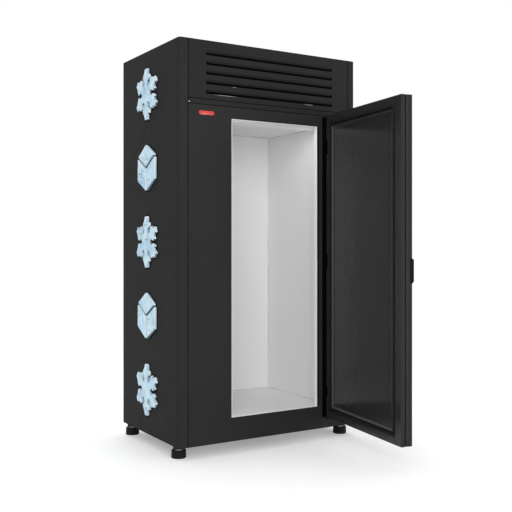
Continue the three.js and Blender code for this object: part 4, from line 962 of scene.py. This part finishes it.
def add_sealant(built, start, end, first, second):
    """A run with a hollow face in the corner of two walls; first and second point out of the walls."""
    hollow = arc((SEALANT_R, SEALANT_R), (-SEALANT_R, -SEALANT_R), 0, 90, 4)
    rings = []
    for spot in (start, end):
        section = [spot] + [spot + Vector(first) * a + Vector(second) * b for a, b in hollow]
        rings.append([built.verts.new(point) for point in section])
    count = len(rings[0])
    for i in range(count):
        k = (i + 1) % count
        built.faces.new((rings[0][i], rings[0][k], rings[1][k], rings[1][i]))
    built.faces.new(rings[0])
    built.faces.new(rings[1])


def room_beads():
    """Sealant in the inner corners of the room."""
    built = bmesh.new()
    x0, x1 = ROOM_X0 + SKIN_AIR, ROOM_X1 - SKIN_AIR
    y0, y1 = ROOM_Y0 + SEALANT_START, ROOM_Y1 - SKIN_AIR
    z0, z1 = ROOM_Z0 + SKIN_AIR, ROOM_Z1 - SKIN_AIR
    for x, inward in ((x0, RIGHT), (x1, LEFT)):
        add_sealant(built, at(x, y1, z0), at(x, y1, z1), inward, FRONT)
        add_sealant(built, at(x, y0, z1), at(x, y1, z1), inward, DOWN)
        add_sealant(built, at(x, y0, z0), at(x, y1, z0), inward, UP)
    add_sealant(built, at(x0, y1, z1), at(x1, y1, z1), FRONT, DOWN)
    add_sealant(built, at(x0, y1, z0), at(x1, y1, z0), FRONT, UP)
    piece("room_beads", built, "white_sheet", "cabinet", SEALANT)


# ---------------------------------------------------------------- hinge side

# Bumper, and a black film of painted shade on the jamb plate, from the body's front lower left corner
BUMPER_X = (0.8410, 0.8475)
BUMPER_Z = (0.1265, 1.6475)
BUMPER_PROUD = 0.0020
JAMB_SHADE_X = (0.8715, 0.9005)
JAMB_SHADE_T = 0.00018
JAMB_SHADE_END = 0.004  # from the jamb plate's ends


def hinge_side_strips():
    """Half-round rubber bumper beside the opening, and a black film where the gasket meets the jamb plate:
    painted shade where the open door shadows the jamb.
    """
    built = bmesh.new()
    x0, x1 = BUMPER_X
    outline = arc(((x0 + x1) / 2, -SEAT_AIR), ((x1 - x0) / 2, -BUMPER_PROUD), 0, 180, 8)
    add_prism(built, outline, *BUMPER_Z, Matrix.Translation(at(0, 0, 0)))
    low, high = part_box("hinge_jamb_plate")
    y = FRONT_Y - SKIN_AIR
    start = (SIDE_X + JAMB_SHADE_X[0], y - JAMB_SHADE_T, low.z + JAMB_SHADE_END)
    end = (SIDE_X + JAMB_SHADE_X[1], y, high.z - JAMB_SHADE_END)
    add_box(built, start, end)
    piece("hinge_side_strips", built, "rubber", "cabinet", DEEP_BLACK)


LEAF_HEIGHTS = ((1.500, 1.577), (0.880, 0.960), (0.177, 0.240))  # above the body's underside
LEAF_X0, LEAF_X1 = 0.0050, 0.0176  # from the pivot towards the hinge edge
LEAF_TAPER = 0.006
LEAF_CORNER = 0.003
LEAF_PROUD = 0.0026
LEAF_BEVEL = 0.0008


def hinge_leaves():
    """Dark leaves on the hinge edge of the door's inner frame."""
    built = bmesh.new()
    place = door_place() @ facing((0, DOOR_Y1, 0), LEFT, UP)
    for low, high in LEAF_HEIGHTS:
        outline = [(-LEAF_X1, low), (-LEAF_X0, low + LEAF_TAPER)]
        outline += [(-LEAF_X0, high - LEAF_TAPER), (-LEAF_X1, high)]
        add_prism(built, softened(outline, LEAF_CORNER), SEAT_AIR, LEAF_PROUD, place, LEAF_BEVEL)
    piece("hinge_leaves", built, "black_enamel", "door", DEEP_BLACK)


# ---------------------------------------------------------------- small fasteners and painted highlights

SCREW_R = 0.0045
SCREW_RISE = 0.62  # head's height as a share of its radius
SCREW_SEAT = 0.0002
# Rim, crown and the shallow round recess, as shares of the head's radius and height
SCREW_CROWN = ((0.98, 0.45), (0.8, 0.8), (0.5, 0.97), (0.42, 1), (0.2, 0.5), (0, 0.45))


def add_screw(built, spot, out, radius=SCREW_R):
    """A pan head with a round recess."""
    place = Matrix.Translation(spot) @ Vector(out).to_track_quat("Z", "X").to_matrix().to_4x4()
    height = radius * SCREW_RISE
    profile = [(0, SCREW_SEAT), (radius, SCREW_SEAT)]
    profile += [(radius * across, height * up) for across, up in SCREW_CROWN]
    add_turned(built, profile, place, 20)


REAR_INSET = 0.011  # sheet's edge to its screws
REAR_BAYS = 5  # between the screws up the back panel's sides


def rear_screws():
    """Screws round the back panel and the grille."""
    built = bmesh.new()
    low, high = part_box("back_panel")
    grille_low, grille_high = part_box("rear_grille")
    left, right = low.x + REAR_INSET, high.x - REAR_INSET
    third = (high.x - low.x) / 3
    full_rows = [edge + REAR_INSET for edge in (low.z, grille_low.z)]
    full_rows += [edge - REAR_INSET for edge in (high.z, grille_high.z)]
    side_rows = [low.z + (high.z - low.z) * k / REAR_BAYS for k in range(1, REAR_BAYS)]
    side_rows.append((grille_low.z + grille_high.z) / 2)
    spots = [(x, z) for z in full_rows for x in (left, low.x + third, low.x + 2 * third, right)]
    spots += [(x, z) for z in side_rows for x in (left, right)]
    for x, z in spots:
        add_screw(built, (x, high.y, z), BACK)
    piece("rear_screws", built, "zinc_steel", "cabinet")


RIVET_AT = (0.0035, 0.006)  # from the rail's lower left corner
# Radius and height
RIVET_PROFILE = ((0, 0.0001), (0.0028, 0.0001), (0.0026, 0.0009), (0.0015, 0.0016), (0, 0.0018))


def rail_pin():
    """Small bare rivet at the rail's left end."""
    built = bmesh.new()
    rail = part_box("cross_rail")[0]
    place = facing((rail.x + RIVET_AT[0], rail.y, rail.z + RIVET_AT[1]), RIGHT, UP)
    add_turned(built, RIVET_PROFILE, place, 16)
    piece("rail_pin", built, "zinc_steel", "cabinet")


BRACKET_SCREW_R = 0.0038
BRACKET_SCREWS_IN = (0.009, 0.030)  # bracket's right end to its screws
BRACKET_FACE = 0.0033  # bracket's plate in front of the body


def bracket_screws():
    """Two dark screws in each hinge bracket."""
    built = bmesh.new()
    for node in ("upper_hinge_bracket", "lower_hinge_bracket"):
        low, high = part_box(node)
        for inset in BRACKET_SCREWS_IN:
            spot = (high.x - inset, FRONT_Y - BRACKET_FACE, (low.z + high.z) / 2)
            add_screw(built, spot, FRONT, BRACKET_SCREW_R)
    piece("bracket_screws", built, "black_enamel", "cabinet")


# Near-black sheet of painted shade, from the body's front lower left corner
MAT_X = (0.125, 0.965)
MAT_Y = (0.0165, 0.0205)  # behind the louvres' lips, in front of the condenser
MAT_Z = (1.748, 2.026)
MAT_BEVEL = 0.001


def louvre_shade_mat():
    """Near-black sheet behind the louvres: painted shade that keeps the slots dark."""
    built = bmesh.new()
    low, high = (at(*corner) for corner in zip(MAT_X, MAT_Y, MAT_Z))
    add_box(built, low, high, MAT_BEVEL)
    piece("louvre_shade_mat", built, "black_plastic", "cabinet", LOUVRE_SHADE_BLACK)


SLOT_FIRST = 1.968  # body's underside to the top slot's middle
SLOT_PITCH = 0.0485
SLOT_HALF = 0.00675
# Slot, counted from the top, and the stretch of its lower edge that gets a painted highlight, from the
# body's left side
HIGHLIGHT_STRETCHES = ((3, 0.30, 0.33), (4, 0.185, 0.345), (4, 0.745, 0.815))
HIGHLIGHT_DROP = 0.0011  # slot's edge to the sliver's tips
HIGHLIGHT_DOWN, HIGHLIGHT_UP = 0.0013, 0.0007  # how far it bulges below its tips and above them


def slot_edge_highlights():
    """Bright metal slivers under the slots' lower edges: painted highlights where those edges catch the
    light.
    """
    built = bmesh.new()
    place = facing(at(0, -SKIN_AIR, 0), RIGHT, UP)
    for slot, start, end in HIGHLIGHT_STRETCHES:
        z = SLOT_FIRST - SLOT_PITCH * slot - SLOT_HALF - HIGHLIGHT_DROP
        third = (end - start) / 3
        below = [(start, z), (start + third, z - HIGHLIGHT_DOWN), (end - third, z - HIGHLIGHT_DOWN), (end, z)]
        above = [(end - third, z + HIGHLIGHT_UP), (start + third, z + HIGHLIGHT_UP)]
        add_prism(built, below + above, 0.0, FILM_T, place)
    piece("slot_edge_highlights", built, "zinc_steel", "cabinet", SLOT_EDGE_HIGHLIGHT)


# ---------------------------------------------------------------- scene


def view_settings():
    """Colours show as they are written."""
    bpy.context.scene.view_settings.view_transform = "Standard"


view_settings()
make_camera()
make_world()
make_lights()
make_floor()
dress_frame()
soften_frame()
side_signs()
front_plate()
door_seal()
door_liner_panel()
handle_wrap()
edge_bands()
seam_shade_strips()
room_beads()
hinge_side_strips()
hinge_leaves()
rear_screws()
rail_pin()
bracket_screws()
slot_edge_highlights()
louvre_shade_mat()
